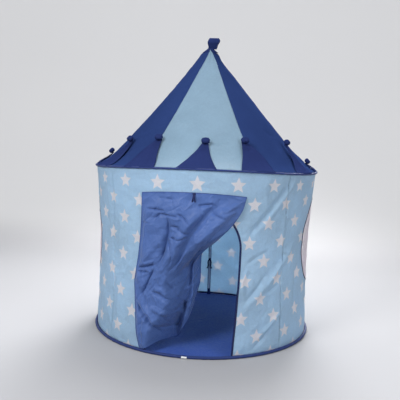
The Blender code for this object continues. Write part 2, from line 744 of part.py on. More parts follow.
def make_ties():
    """Ribbon round each pole, sewn to the seam tape behind it, with two tails hanging into the tent."""
    for level, height in zip(("low", "high"), TIE_HEIGHTS):
        radius = pole_ring_radius()
        inner = POLE_BORE_RADIUS
        outer = POLE_BORE_RADIUS + TIE_CLOTH
        low = polar(radius, 0, height - TIE_WIDTH / 2)
        high = polar(radius, 0, height + TIE_WIDTH / 2)
        up = Vector((0, 0, 1))
        rings = [section_across(low, up, outer), section_across(high, up, outer),
                 section_across(high, up, inner), section_across(low, up, inner)]
        band = loft("tie_band", rings, materials["navy_binding"], closed=True)
        narrow = min(wall_radius(height + side * TIE_WIDTH / 2) for side in (1, -1))
        wall = narrow * on_facets(TIE_WIDTH / 2 / narrow)
        seat = wall - CLOTH / 2 - GAP - SEAM_TAPE_CLOTH - GAP
        start = radius + POLE_BORE_RADIUS + TIE_CLOTH / 2
        tab = box_between("tie_tab", -TIE_WIDTH / 2, TIE_WIDTH / 2, -seat, -start,
                          height - TIE_WIDTH / 2 + GAP, height + TIE_WIDTH / 2 - GAP)
        tails = []
        for side in (1, -1):
            knot = Vector((0, -radius + inner + TIE_CLOTH / 2, height))
            end = knot + Vector((side * TIE_TAIL_SPREAD, TIE_CLOTH, -TIE_TAIL_LENGTH))
            across = Vector((TIE_WIDTH / 2, 0, 0))
            deep = Vector((0, TIE_CLOTH / 2, 0))
            rings = [[point - across - deep, point + across - deep, point + across + deep, point - across + deep]
                     for point in (knot + Vector((0, TIE_CLOTH / 4, 0)), end)]
            tails.append(loft(f"tie_tail_{side}", rings, materials["navy_binding"]))
        mesh = unite(band, [tab] + tails)
        names = [f"pole_tie_{level}_{side}" for side in ("right", "left", "back")]
        turned_copies(names, mesh, POLE_AZIMUTHS, materials["navy_binding"])


def box_between(name, left, right, front, back, low, high):
    rings = [[Vector((left, front, z)), Vector((right, front, z)), Vector((right, back, z)), Vector((left, back, z))]
             for z in (low, high)]
    return loft(name, rings, materials["navy_binding"])


# Door curtain

def ease(value):
    """Smooth step from 0 to 1."""
    value = min(max(value, 0.0), 1.0)
    return value * value * (3 - 2 * value)


def curtain_point(across, down):
    """Middle of the curtain's cloth; across runs 0 to 1 from its left edge, down 0 to 1 from its seam.

    The left side hangs outside the wall. The right side is drawn to the left on a slant, and below the
    doorway's head it turns in through the doorway, where its hem hangs clear of the floor. Folds run
    down from the top right corner.
    """
    top = CURTAIN_TOP_HEIGHT - CURTAIN_TOP_BOW * (2 * across - 1) ** 2
    hem = CURTAIN_BOTTOM_HEIGHT + CURTAIN_HEM_RISE * ease((across - 0.4) / 0.6)
    height = top + (hem - top) * down
    left = CURTAIN_LEFT_AZIMUTH * (1 + 0.15 * math.sin(math.pi * min(1, down * 1.15)))
    reach = float(np.interp(down, CURTAIN_EDGE_DOWN_SHARES, CURTAIN_EDGE_REACH_SHARES))
    azimuth = left + (CURTAIN_RIGHT_AZIMUTH * reach - left) * across
    turned_in = ease((down - 0.27) / 0.36) * ease((across - 0.42) / 0.5)
    seat = CLOTH / 2 + GAP + CURTAIN_CLOTH / 2 + CURTAIN_EASE
    offset = seat + (CURTAIN_STAND_OFF - seat) * ease(down / 0.06)
    ripple = (math.cos(2 * math.pi * (2.6 * across + 0.9 * down))
              + 0.6 * math.cos(2 * math.pi * (5.2 * across - 1.3 * down)))
    fold = CURTAIN_FOLD * (1 + ripple / 1.6) / 2 * ease(down / 0.3) * ease(across / 0.12)
    depth = offset + fold * (1 + turned_in) - CURTAIN_REACH_IN * turned_in
    radius = wall_radius(height)
    return polar(radius * on_facets(azimuth) + depth, azimuth, height)


def curtain_normal(across, down):
    step = 0.01
    sideways = curtain_point(min(1, across + step), down) - curtain_point(max(0, across - step), down)
    downward = curtain_point(across, min(1, down + step)) - curtain_point(across, max(0, down - step))
    return downward.cross(sideways).normalized()


def on_curtain(across, down, lift):
    """Point over the curtain's own flat facets, moved off its middle by lift."""
    column = min(int(across * CURTAIN_COLUMNS), CURTAIN_COLUMNS - 1)
    row = min(int(down * CURTAIN_ROWS), CURTAIN_ROWS - 1)
    beside = across * CURTAIN_COLUMNS - column
    below = down * CURTAIN_ROWS - row
    edges = []
    for step in (0, 1):
        places = [((column + side) / CURTAIN_COLUMNS, (row + step) / CURTAIN_ROWS) for side in (0, 1)]
        near, far = [curtain_point(*place) + curtain_normal(*place) * lift for place in places]
        edges.append(near.lerp(far, beside))
    return edges[0].lerp(edges[1], below)


def make_curtain():
    grids = []
    for side in (CURTAIN_CLOTH / 2, -CURTAIN_CLOTH / 2):
        grid = []
        for row in range(CURTAIN_ROWS + 1):
            down = row / CURTAIN_ROWS
            line = []
            for column in range(CURTAIN_COLUMNS + 1):
                across = column / CURTAIN_COLUMNS
                line.append(curtain_point(across, down) + curtain_normal(across, down) * side)
            grid.append(line)
        grids.append(grid)
    sheet("door_curtain", grids[0], grids[1], materials["curtain_cloth"])

    middle = -CURTAIN_LEFT_AZIMUTH / (CURTAIN_RIGHT_AZIMUTH - CURTAIN_LEFT_AZIMUTH)
    width = (CURTAIN_RIGHT_AZIMUTH - CURTAIN_LEFT_AZIMUTH) * wall_radius(CURTAIN_TOP_HEIGHT)
    half = CURTAIN_TIE_WIDTH / 2 / width
    drop = CURTAIN_TOP_HEIGHT - CURTAIN_BOTTOM_HEIGHT
    length = CURTAIN_TIE_LENGTH / drop
    near = CURTAIN_CLOTH / 2 + GAP
    grids = []
    for lift in (near + TIE_CLOTH, near):
        grid = []
        for row in range(4):
            down = length * row / 3
            grid.append([on_curtain(a, down, lift) for a in (middle - half, middle, middle + half)])
        grids.append(grid)
    ribbon = sheet("ribbon", grids[0], grids[1], materials["navy_binding"])
    knot_place = on_curtain(middle, CURTAIN_TIE_DROP / drop, near + CURTAIN_KNOT_HALF_DEPTH)
    size = Matrix.Diagonal((CURTAIN_KNOT_HALF_WIDTH, CURTAIN_KNOT_HALF_DEPTH, CURTAIN_KNOT_HALF_HEIGHT, 1))
    work = bmesh.new()
    bmesh.ops.create_uvsphere(work, u_segments=8, v_segments=5, radius=1,
                              matrix=Matrix.Translation(knot_place) @ size)
    knot = finish_mesh("knot", work, materials["navy_binding"])
    add_object("curtain_tie", unite(ribbon, [knot]), materials["navy_binding"])


def make_tag():
    half = TAG_WIDTH / 2
    flat = math.cos((math.pi - SLEEVE_SLIT_HALF) / SLEEVE_SIDES)
    near = -(BASE_RING_RADIUS + BASE_SLEEVE_RADIUS * flat) * on_facets(TAG_AZIMUTH) - GAP
    tag = box_between("sewn_tag", -half, half, near - TAG_CLOTH, near, GAP, GAP + TAG_HEIGHT)
    tag.rotation_euler.z = TAG_AZIMUTH
    tag.data.materials.clear()
    tag.data.materials.append(materials["white_tape"])


remove_all()
materials = {
    "star_cloth": make_material("star_cloth", (0.30, 0.47, 0.67), 0.6),
    "light_cloth": make_material("light_cloth", (0.28, 0.42, 0.56), 0.6),
    "dark_cloth": make_material("dark_cloth", (0.03, 0.05, 0.17), 0.6),
    "navy_cloth": make_material("navy_cloth", (0.03, 0.04, 0.15), 0.6),
    "navy_binding": make_material("navy_binding", (0.02, 0.03, 0.10), 0.7),
    "navy_floor": make_material("navy_floor", (0.02, 0.04, 0.14), 0.5),
    "curtain_cloth": make_material("curtain_cloth", (0.05, 0.08, 0.30), 0.45),
    "net": make_material("net", (0.75, 0.68, 0.72), 0.6),
    "spring_steel": make_material("spring_steel", (0.30, 0.30, 0.32), 0.35, 1.0),
    "zinc": make_material("zinc", (0.55, 0.55, 0.56), 0.4, 1.0),
    "pole": make_material("pole", (0.04, 0.05, 0.08), 0.45),
    "connector": make_material("connector", (0.03, 0.03, 0.03), 0.5),
    "white_tape": make_material("white_tape", (0.8, 0.8, 0.8), 0.6),
    "cutter": make_material("cutter", (0.8, 0.2, 0.2), 0.5),
}
make_floor()
hoop("base_hoop", BASE_RING_RADIUS, BASE_SLEEVE_RADIUS, BASE_SLEEVE_RADIUS, "navy_binding")
hoop("eave_hoop", EAVE_RING_RADIUS, EAVE_HEIGHT, EAVE_SLEEVE_RADIUS, "navy_binding")
make_walls()
make_windows()
make_seam_tapes()
make_roof()
make_crown()
follow_eave(("wall_", "seam_tape", "eave_hoop", "roof_panel", "crown_flap"))
make_apex()
make_poles()
make_hub()
make_ties()
make_curtain()
make_tag()
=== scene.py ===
import bpy
import numpy as np
from numpy import array, concatenate, cos, linspace, pi, radians, sin, stack
from mathutils import Matrix, Vector


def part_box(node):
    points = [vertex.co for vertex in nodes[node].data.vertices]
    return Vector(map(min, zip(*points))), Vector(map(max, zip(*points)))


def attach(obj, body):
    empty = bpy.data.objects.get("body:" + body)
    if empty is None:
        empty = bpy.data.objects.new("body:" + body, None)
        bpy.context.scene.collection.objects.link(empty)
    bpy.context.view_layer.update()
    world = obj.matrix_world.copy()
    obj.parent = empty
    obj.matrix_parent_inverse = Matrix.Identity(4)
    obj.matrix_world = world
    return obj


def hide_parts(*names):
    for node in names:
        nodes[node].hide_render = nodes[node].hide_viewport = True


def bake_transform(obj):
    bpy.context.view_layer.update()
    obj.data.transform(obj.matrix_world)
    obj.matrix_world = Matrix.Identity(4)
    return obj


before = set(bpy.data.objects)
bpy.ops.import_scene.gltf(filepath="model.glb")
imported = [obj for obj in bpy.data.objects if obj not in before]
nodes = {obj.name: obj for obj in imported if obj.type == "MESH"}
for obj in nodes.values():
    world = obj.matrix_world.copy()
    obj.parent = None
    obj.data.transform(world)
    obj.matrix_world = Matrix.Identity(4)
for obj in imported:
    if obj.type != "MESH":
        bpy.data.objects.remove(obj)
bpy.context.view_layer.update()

print("frame loaded,", len(nodes), "nodes")

# the room's own sizes in metres; azimuth 0 is the middle of the doorway and grows towards +X
room = dict(baseRadius=0.518, eaveRadius=0.5285, waist=0.016, wallBottom=0.0105, footStep=0.0035,
            shoulder=0.679, wallTop=0.8045, eaveHeight=0.8075, frontRise=0.007, sideDip=0.027,
            roofBottom=0.8107, apexHeight=1.342, seamAzimuth=48, baseHoop=0.521, eaveHoop=0.532)
# lengths across the flat wall cloth are azimuths times this radius
flatRadius = room["baseRadius"]
upwards = array([0.0, 0.0, 1.0])


# small helpers

def paint(color, factor=1.0):
    # screen colour, its parts up to 255, to the linear colour that a shader takes, times the factor
    parts = array(color) / 255
    linear = np.where(parts <= 0.04045, parts / 12.92, ((parts + 0.055) / 1.055) ** 2.4)
    return (*np.minimum(1, linear * factor), 1)


def ease(value):
    # smooth step from 0 to 1
    value = np.clip(value, 0, 1)
    return value * value * (3 - 2 * value)


def bell(value, width):
    # 1 at zero, falling smoothly to nothing a couple of widths away
    return np.exp(-(value / width) ** 2)


def fullTurn(count):
    # angles all round a circle
    return linspace(0, 2 * pi, count, endpoint=False)


def around(radius, azimuth, height):
    # points at a distance from the tent's upright axis, in a direction and at a height
    parts = np.broadcast_arrays(radius * sin(azimuth), -radius * cos(azimuth), height)
    return stack(parts, axis=-1)


def runAlong(path):
    # length of the path from its start to each of its points
    return concatenate([[0], np.cumsum(np.linalg.norm(np.diff(path, axis=0), axis=1))])


def unit(vectors):
    # the same directions at length 1
    return vectors / np.linalg.norm(vectors, axis=-1, keepdims=True)


def ripple(u, v, seed, count, reach):
    # sum of a few crossing waves of unlike direction and length, about 1 at most
    random = np.random.default_rng(seed)
    total = 0 * (u + v)
    for number in range(count):
        turn = random.uniform(0, pi)
        length = reach * random.uniform(0.45, 1.3)
        shift = random.uniform(0, 2 * pi)
        total = total + sin(2 * pi * (u * cos(turn) + v * sin(turn)) / length + shift)
    return total / count ** 0.5 / 1.6


def foldLine(u, v, points, width):
    # ridge along a bent line of (u, v) points: sharp crest, soft foot, fading at both ends
    points = array(points, float)
    starts = runAlong(points)
    aside = np.inf + 0 * (u + v)
    reach = 0 * (u + v)
    for start, step, length, before in zip(points, np.diff(points, axis=0), np.diff(starts), starts):
        share = np.clip(((u - start[0]) * step[0] + (v - start[1]) * step[1]) / length ** 2, 0, 1)
        away = np.hypot(u - start[0] - share * step[0], v - start[1] - share * step[1])
        reach = np.where(away < aside, (before + share * length) / starts[-1], reach)
        aside = np.minimum(aside, away)
    crest = np.maximum(1.1 - np.sqrt(aside ** 2 + (0.15 * width) ** 2) / (1.6 * width), 0) ** 2
    return crest * ease(reach / 0.25) * ease((1 - reach) / 0.25)


def crumple(u, v, seed, count, box, length, width):
    # many short creases at random places and turns in a box of (low u, high u, low v, high v)
    random = np.random.default_rng(seed)
    total = 0 * (u + v)
    for number in range(count):
        place = array([random.uniform(box[0], box[1]), random.uniform(box[2], box[3])])
        turn = random.uniform(0, pi)
        half = array([cos(turn), sin(turn)]) * length * random.uniform(0.3, 0.7)
        bend = array([-half[1], half[0]]) * random.uniform(-0.4, 0.4)
        size = random.uniform(0.6, 1.3)
        line = foldLine(u, v, (place - half, place + bend, place + half), width * size)
        total = total + line * size * random.choice((-1, 1))
    return total


def smoothTable(value, places, values):
    # curve through the table's points, its slope at each one that of its neighbours
    spot = np.clip(np.searchsorted(places, value, side="right") - 1, 0, len(places) - 2)
    slope = np.gradient(values, places)
    span = places[spot + 1] - places[spot]
    t = (value - places[spot]) / span
    return ((2 * t ** 3 - 3 * t ** 2 + 1) * values[spot] + (t ** 3 - 2 * t ** 2 + t) * span * slope[spot]
            + (3 * t ** 2 - 2 * t ** 3) * values[spot + 1] + (t ** 3 - t ** 2) * span * slope[spot + 1])


# meshes from grids

def show(name, data):
    item = bpy.data.objects.new(name, data)
    bpy.context.scene.collection.objects.link(item)
    return item


def gridQuads(rows, columns, down, across):
    # corner numbers of down by across faces on a grid of points, which may close on itself
    row, column = np.indices((down, across)).reshape(2, -1)
    below = (row + 1) % rows * columns
    beside = (column + 1) % columns
    row = row * columns
    return stack([row + column, row + beside, below + beside, below + column], axis=1)


def measuredMap(grid):
    # flat place of each grid point in metres: mean run of the rows across, mean run of the columns down
    across = np.linalg.norm(np.diff(grid, axis=1), axis=2).mean(axis=0)
    down = np.linalg.norm(np.diff(grid, axis=0), axis=2).mean(axis=1)
    return stack(np.meshgrid(np.cumsum([0, *across]), np.cumsum([0, *down])), axis=2)


def makeSurface(name, grid, *lookNames, flatMap=None, wrapDown=False, wrapAcross=False, caps=False,
                flip=False):
    # a grid of points, rows by columns by 3, becomes one mesh with a UV map in metres
    rows, columns = grid.shape[:2]
    down = rows - (not wrapDown)
    across = columns - (not wrapAcross)
    faces = gridQuads(rows, columns, down, across).tolist()
    wrap = ((0, wrapDown), (0, wrapAcross), (0, 0))
    flatMap = measuredMap(np.pad(grid, wrap, "wrap")) if flatMap is None else np.pad(flatMap, wrap, "wrap")
    spots = flatMap.reshape(-1, 2)[gridQuads(down + 1, across + 1, down, across).ravel()]
    if caps:
        faces.append(list(range(columns))[::-1])
        faces.append([(rows - 1) * columns + column for column in range(columns)])
        spots = np.vstack([spots, np.zeros((2 * columns, 2))])
    mesh = bpy.data.meshes.new(name)
    mesh.from_pydata(grid.reshape(-1, 3).tolist(), [], faces)
    layer = mesh.uv_layers.new(name="UVMap")
    layer.data.foreach_set("uv", spots.astype(np.float32).ravel())
    if flip:
        mesh.flip_normals()
    mesh.shade_smooth()
    for lookName in lookNames:
        mesh.materials.append(looks[lookName])
    return show(name, mesh)


def thicken(item, thickness, offset=0, innerSlot=0):
    step = item.modifiers.new("cloth", "SOLIDIFY")
    step.thickness = thickness
    step.offset = offset
    step.material_offset = innerSlot


def dress(item, slotName, *replaced):
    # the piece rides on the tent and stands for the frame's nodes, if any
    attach(item, "tent")
    if replaced:
        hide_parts(*replaced)


def sweep(name, path, section, up, lookName, closed=False):
    # a flat section, points of (side, lift), is carried along a path; side is square to the path and to up
    tangent = np.gradient(path, axis=0)
    if closed:
        tangent = np.roll(path, -1, axis=0) - np.roll(path, 1, axis=0)
    tangent = unit(tangent)
    side = unit(np.cross(tangent, up))
    lift = np.cross(side, tangent)
    grid = path[:, None] + section[..., :1] * side[:, None] + section[..., 1:] * lift[:, None]
    return makeSurface(name, grid, lookName, wrapDown=closed, wrapAcross=True, caps=not closed)


def roundRing(radius, sides):
    turn = fullTurn(sides)
    return stack([radius * cos(turn), radius * sin(turn)], axis=1)


def flatRing(width, thickness):
    # flat tape in section with rounded edges
    half = width / 2
    deep = thickness / 2
    turn = linspace(-pi / 2, pi / 2, 4)
    right = stack([half - deep + deep * cos(turn), deep * sin(turn)], axis=1)
    return concatenate([right, -right])


def makeKnot(name, centre, across, inward, sizes, sides, rows):
    # egg of ribbon: cosine of rise times cosine and sine of turn, sine of rise, times the half sizes
    turn = fullTurn(sides)[None, :, None]
    rise = linspace(-1.5, 1.5, rows)[:, None, None]
    grid = centre + sizes[0] * cos(rise) * cos(turn) * across
    grid = grid + sizes[1] * cos(rise) * sin(turn) * inward + sizes[2] * sin(rise) * upwards
    return makeSurface(name, grid, "tape", wrapAcross=True, caps=True)


# materials

def feed(tree, node, inputs):
    # each input takes another node's output or a constant
    for key, value in inputs.items():
        if isinstance(value, bpy.types.NodeSocket):
            tree.links.new(value, node.inputs[key])
        elif value is not None:
            node.inputs[key].default_value = value
    return node


def newNode(tree, kind, inputs, **settings):
    node = tree.nodes.new("ShaderNode" + kind)
    for key, value in settings.items():
        setattr(node, key, value)
    return feed(tree, node, inputs)


def startMaterial(name):
    material = bpy.data.materials.new(name)
    material.use_nodes = True
    return material, material.node_tree, material.node_tree.nodes["Principled BSDF"]


def coordinates(tree, kind):
    return tree.nodes.new("ShaderNodeTexCoord").outputs[kind]


def axes(tree, place):
    return newNode(tree, "SeparateXYZ", {0: place}).outputs[:]


def sums(tree, operation, first, second=0.0):
    return newNode(tree, "Math", {0: first, 1: second}, operation=operation).outputs[0]


def times(tree, first, second):
    return sums(tree, "MULTIPLY", first, second)


def minus(tree, first, second):
    return sums(tree, "SUBTRACT", first, second)


def remap(tree, value, low, high, bottom=0.0, top=1.0):
    # from low to high onto bottom to top, by a smooth step
    places = dict(enumerate((value, low, high, bottom, top)))
    return newNode(tree, "MapRange", places, interpolation_type="SMOOTHSTEP").outputs[0]


def mixed(tree, share, first, second, blend="MIX"):
    parts = {0: share, 6: first, 7: second}
    return newNode(tree, "Mix", parts, data_type="RGBA", blend_type=blend).outputs[2]


def noise(tree, place, scale, detail=2.0, stretch=(1, 1, 1)):
    turned = newNode(tree, "Mapping", dict(Vector=place, Scale=stretch)).outputs[0]
    return newNode(tree, "TexNoise", dict(Vector=turned, Scale=scale, Detail=detail)).outputs["Fac"]


def bumped(tree, height, strength, distance, before=None):
    inputs = dict(Strength=strength, Distance=distance, Height=height, Normal=before)
    return newNode(tree, "Bump", inputs).outputs[0]


def toned(tree, share, color, tint):
    # the colour a little darker to a little lighter by the share
    return mixed(tree, remap(tree, share, 0.3, 0.7), paint(color, 1 - tint), paint(color, 1 + tint))


def weave(tree, place, thread):
    # over-and-under threads: two crossing sine waves, one along each direction of the cloth
    turn = 2 * pi / thread
    across, down = [sums(tree, "SINE", times(tree, part, turn)) for part in axes(tree, place)[:2]]
    return times(tree, across, down)


clothLook = dict(thread=0.0009, weaveDepth=0.00012, threadShade=0.86, crumpleScale=26, crumpleDepth=0.0016,
                 facetSize=0.062, smallSize=0.4, smallDepth=0.16, tint=0.07, sheenRoughness=0.4)


def facetHeight(tree, place, size):
    # crushed cloth: flat facets that meet in sharp ridges, the nearest of scattered points by the
    # sum of the sideways and the upright distance, on a place that is bent a little by noise
    bend = newNode(tree, "TexNoise", dict(Vector=place, Scale=0.35 / size)).outputs["Color"]
    places = {0: bend, 1: (1.6 * size, 1.6 * size, 0), 2: place}
    shifted = newNode(tree, "VectorMath", places, operation="MULTIPLY_ADD").outputs[0]
    return newNode(tree, "TexVoronoi", dict(Vector=shifted, Scale=1 / size), voronoi_dimensions="2D",
                   distance="MANHATTAN").outputs["Distance"]


def clothMaterial(name, color, sheen=0.04, shine=0.2, crumple=1.0, roughness=0.5, stars=None, through=0.0,
                  facets=0.0):
    # thin woven cloth: fine threads, small crumples, slow changes of tone; stars give it a printed
    # pattern, through is the share of light that shines through it, and facets the depth of its crushes
    material, tree, shader = startMaterial(name)
    place = coordinates(tree, "UV")
    solid = coordinates(tree, "Object")
    slow = noise(tree, solid, 5.0, 3.0)
    fine = noise(tree, solid, 90.0)
    tone = sums(tree, "ADD", times(tree, slow, 0.7), times(tree, fine, 0.3))
    shade = toned(tree, tone, color, clothLook["tint"])
    if stars is not None:
        shade = mixed(tree, starMask(tree, place), shade, paint(stars))
    threads = weave(tree, place, clothLook["thread"])
    grain = mixed(tree, 1.0, shade, remap(tree, threads, -1.0, 0.2, clothLook["threadShade"]), "MULTIPLY")
    crumples = noise(tree, solid, clothLook["crumpleScale"], 4.0, (1.0, 1.0, 0.6))
    normal = bumped(tree, crumples, 0.55 * crumple, clothLook["crumpleDepth"])
    if facets:
        for size, depth in ((1, 1), (clothLook["smallSize"], clothLook["smallDepth"])):
            height = facetHeight(tree, place, size * clothLook["facetSize"])
            normal = bumped(tree, height, 1.0, depth * facets, normal)
    normal = bumped(tree, threads, 0.5, clothLook["weaveDepth"], normal)
    gloss = remap(tree, fine, 0.3, 0.7, roughness - 0.07, roughness + 0.07)
    feed(tree, shader, {"Base Color": grain, "Normal": normal, "Roughness": gloss, "Sheen Weight": sheen,
                        "Sheen Roughness": clothLook["sheenRoughness"], "Specular IOR Level": shine})
    if through:
        glow = newNode(tree, "BsdfTranslucent", dict(Color=grain, Normal=normal)).outputs[0]
        mix = newNode(tree, "MixShader", {0: through, 1: shader.outputs[0], 2: glow}).outputs[0]
        feed(tree, tree.nodes["Material Output"], dict(Surface=mix))
    return material


# star print: columns every 18.85 degrees, rows every 83 mm, each row moved half a column and a little more
starPrint = dict(pitchAcross=18.85, offset=0.5, pitchDown=0.0828, firstRow=0.749, drift=-0.7, radius=0.035,
                 notchShare=0.46, edge=0.0008)


def starMask(tree, place):
    # five-pointed stars in staggered rows: distance to the slanted edge between a point and its notch
    across, height = axes(tree, place)[:2]
    radius = starPrint["radius"]
    pitch = radians(starPrint["pitchAcross"]) * flatRadius
    offset = radians(starPrint["offset"]) * flatRadius
    rowPlace = sums(tree, "DIVIDE", minus(tree, starPrint["firstRow"], height), starPrint["pitchDown"])
    row = sums(tree, "ROUND", rowPlace)
    rise = times(tree, minus(tree, row, rowPlace), starPrint["pitchDown"])
    column = sums(tree, "DIVIDE", minus(tree, across, offset), pitch)
    column = minus(tree, column, times(tree, row, starPrint["drift"] / starPrint["pitchAcross"]))
    column = minus(tree, column, times(tree, sums(tree, "FLOORED_MODULO", row, 2.0), 0.5))
    aside = times(tree, minus(tree, column, sums(tree, "ROUND", column)), pitch)
    turn = sums(tree, "PINGPONG", sums(tree, "ARCTAN2", aside, rise), pi / 5)
    reach = sums(tree, "SQRT", sums(tree, "ADD", times(tree, aside, aside), times(tree, rise, rise)))
    along = times(tree, reach, sums(tree, "COSINE", turn))
    out = times(tree, reach, sums(tree, "SINE", turn))
    notchX = radius * starPrint["notchShare"] * cos(pi / 5)
    notchY = radius * starPrint["notchShare"] * sin(pi / 5)
    length = np.hypot(notchX - radius, notchY)
    first = times(tree, minus(tree, along, radius), notchY / length)
    second = times(tree, out, (notchX - radius) / length)
    return remap(tree, minus(tree, first, second), starPrint["edge"], -starPrint["edge"])


def plainMaterial(name, color, roughness, metallic=0.0, grain=0.08, scale=300.0, stretch=(1, 1, 1)):
    # rod, fitting or wire: a fine grain in colour, gloss and surface
    material, tree, shader = startMaterial(name)
    solid = coordinates(tree, "Object")
    marks = noise(tree, solid, scale, 4.0, stretch)
    wear = remap(tree, noise(tree, solid, 9.0, 3.0), 0.62, 0.75, 0.0, 0.25)
    shade = mixed(tree, wear, toned(tree, marks, color, grain), paint(color, 1.5))
    gloss = remap(tree, marks, 0.25, 0.75, roughness - 0.08, roughness + 0.1)
    feed(tree, shader, {"Base Color": shade, "Roughness": gloss, "Normal": bumped(tree, marks, 0.3, 0.0002),
                        "Metallic": metallic})
    return material


looks = dict(
    wall=clothMaterial("starCloth", (184, 214, 237), stars=(238, 236, 240), through=0.46, facets=0.0034),
    wallInside=clothMaterial("starClothInside", (186, 210, 226), stars=(204, 214, 224), through=0.5),
    lightRoof=clothMaterial("lightRoofCloth", (132, 160, 181), crumple=0.7, through=0.25),
    darkRoof=clothMaterial("darkRoofCloth", (42, 60, 108), sheen=0, shine=0.0, crumple=0.7, through=0.1),
    navy=clothMaterial("navyCloth", (38, 49, 93), sheen=0, shine=0.0, crumple=0.7, roughness=0.65),
    tape=clothMaterial("wovenTape", (28, 36, 78), crumple=0.3, roughness=0.65),
    floor=clothMaterial("floorCloth", (58, 85, 162), crumple=0.8, roughness=0.45),
    curtain=clothMaterial("curtainCloth", (75, 102, 160), 0.1, roughness=0.42, through=0.05, facets=0.0075),
    hem=clothMaterial("curtainHem", (48, 70, 132), crumple=0.4),
    hoop=clothMaterial("hoopSleeve", (38, 54, 106), crumple=0.5, roughness=0.55),
    net=clothMaterial("netThread", (226, 214, 222), crumple=0.2, roughness=0.6),
    tag=clothMaterial("satinTag", (235, 235, 235), crumple=0.1),
    pole=plainMaterial("glassFibreRod", (176, 194, 214), 0.4, grain=0.15, stretch=(1, 1, 0.05)),
    fitting=plainMaterial("mouldedPlastic", (30, 32, 40), 0.5, scale=420.0),
    wire=plainMaterial("springWire", (120, 120, 125), 0.35, metallic=1.0, scale=500.0),
    ferrule=plainMaterial("zincTube", (165, 166, 170), 0.4, metallic=1.0),
)
for name, item in nodes.items():
    kind = "fitting"
    for part in ("pole_lower", "pole_upper", "wire", "ferrule"):
        if part in name:
            kind = part.split("_")[0]
    item.data.materials.clear()
    item.data.materials.append(looks[kind])
print("materials made")


# wall cloth

wallCreases = dict(waves=0.0014, crush=0.0016, tuck=0.0035, pucker=0.0011, puckerPitch=0.035, fade=0.03)
# folds in the wall: points of (azimuth in degrees, height in cm), then width and depth in mm
wallFolds = [
    ([(50, 77.5), (43, 70), (37, 64), (29, 56), (24.5, 51)], 13, -9.5),
    ([(54, 79), (47, 71), (41, 65), (34, 58)], 14, 7),
    ([(39, 46.5), (33, 44.5), (28, 42), (24, 40.5)], 11, -5),
    ([(60, 52), (50, 42), (40, 33), (33, 27), (24, 20)], 20, 7.5),
    ([(38, 37), (33, 31), (28, 26), (24, 22)], 12, -6), ([(46, 31), (41, 28.5), (37, 26.5)], 8, -5),
    ([(58, 44), (54, 39), (53, 33)], 9, 4.5), ([(50, 66), (47, 56), (46, 44)], 16, 5),
    ([(56, 76), (53, 72), (55, 68)], 10, -5), ([(35, 79), (34, 70), (35, 62)], 18, 4),
    ([(63, 40), (60, 25), (62, 10)], 18, -5), ([(44, 14), (36, 7), (30, 3)], 12, -5.5),
    ([(50, 20), (40, 12), (33, 9)], 14, 6), ([(27, 40), (24, 33), (25, 26)], 12, 4),
    ([(-54, 77), (-52, 60), (-50, 42)], 14, 3.5), ([(-46, 72), (-42, 55), (-44, 40)], 18, 2.5),
    ([(-50, 36), (-47, 28), (-46, 19)], 10, -4.5), ([(-40, 30), (-44, 18), (-42, 6)], 16, 3.5),
    ([(-58, 20), (-52, 12), (-46, 5)], 14, 4), ([(-32, 79), (-35, 74), (-38, 72)], 10, -3),
    ([(120, 75), (108, 70), (102, 66)], 16, 6), ([(140, 60), (128, 42), (124, 28)], 18, 6),
    ([(-125, 74), (-112, 70), (-104, 66)], 16, 6), ([(-150, 60), (-136, 40), (-126, 20)], 18, -5),
    ([(160, 70), (150, 45), (146, 20)], 20, 5), ([(-165, 60), (-155, 35), (-148, 10)], 18, 5),
    ([(80, 22), (88, 12), (98, 5)], 14, -5), ([(-80, 22), (-90, 12), (-100, 6)], 14, 5),
]


def wallRadius(height):
    # taper from hoop to hoop, drawn in at mid height by a half sine and a little at the foot
    share = (height - room["wallBottom"]) / (room["wallTop"] - room["wallBottom"])
    taper = room["baseRadius"] + (room["eaveRadius"] - room["baseRadius"]) * share
    foot = room["footStep"] * np.exp(-np.maximum(height - room["wallBottom"], 0) / 0.03)
    return taper - room["waist"] * sin(pi * np.clip(share, 0, 1)) - foot


def wallRelief(azimuth, height):
    # tucks along the seams, long slanting folds, small waves, all fading to nothing at the two hoops and
    # behind the curtain's top
    degrees = np.degrees(azimuth)
    arc = azimuth * flatRadius
    fade = wallCreases["fade"]
    relief = wallCreases["waves"] * ripple(arc, height, 3, 9, 0.16)
    crushed = crumple(arc, height, 31, 150, (-1.63, 1.63, 0.03, 0.79), 0.09, 0.009)
    relief = relief + wallCreases["crush"] * crushed
    for points, width, depth in wallFolds:
        line = [(radians(place) * flatRadius, level / 100) for place, level in points]
        relief = relief + depth / 1000 * foldLine(arc, height, line, width / 1000)
    relief = relief * (1 - bell(180 - np.abs(degrees), 2.5))
    for seamPlace in (room["seamAzimuth"], -room["seamAzimuth"], 180, -180):
        aside = radians(degrees - seamPlace) * flatRadius
        relief = relief - wallCreases["tuck"] * bell(aside, 0.005)
        wave = 2 * pi * height / wallCreases["puckerPitch"] + aside * 90 + 2 * sin(height * 31)
        relief = relief + wallCreases["pucker"] * sin(wave) * bell(aside, 0.020)
    ends = ease((height - room["wallBottom"]) / fade) * ease((room["wallTop"] - height) / fade)
    return relief * ends * (1 - bell(degrees + 2, 26) * ease((height - 0.66) / 0.03))


def eaveBend(azimuth):
    # the eave's spring hoop dips at both sides: a saddle, its height a cosine of twice the azimuth
    middle = (room["frontRise"] - room["sideDip"]) / 2
    return middle + (room["frontRise"] + room["sideDip"]) / 2 * cos(2 * azimuth)


def bentHeight(azimuth, height):
    # cloth near the eave moves with the hoop, less and less towards the wall's shoulder and the apex
    levels = (room["shoulder"], room["wallTop"], room["roofBottom"], room["apexHeight"])
    return height + eaveBend(azimuth) * np.interp(height, levels, (0, 1, 1, 0))


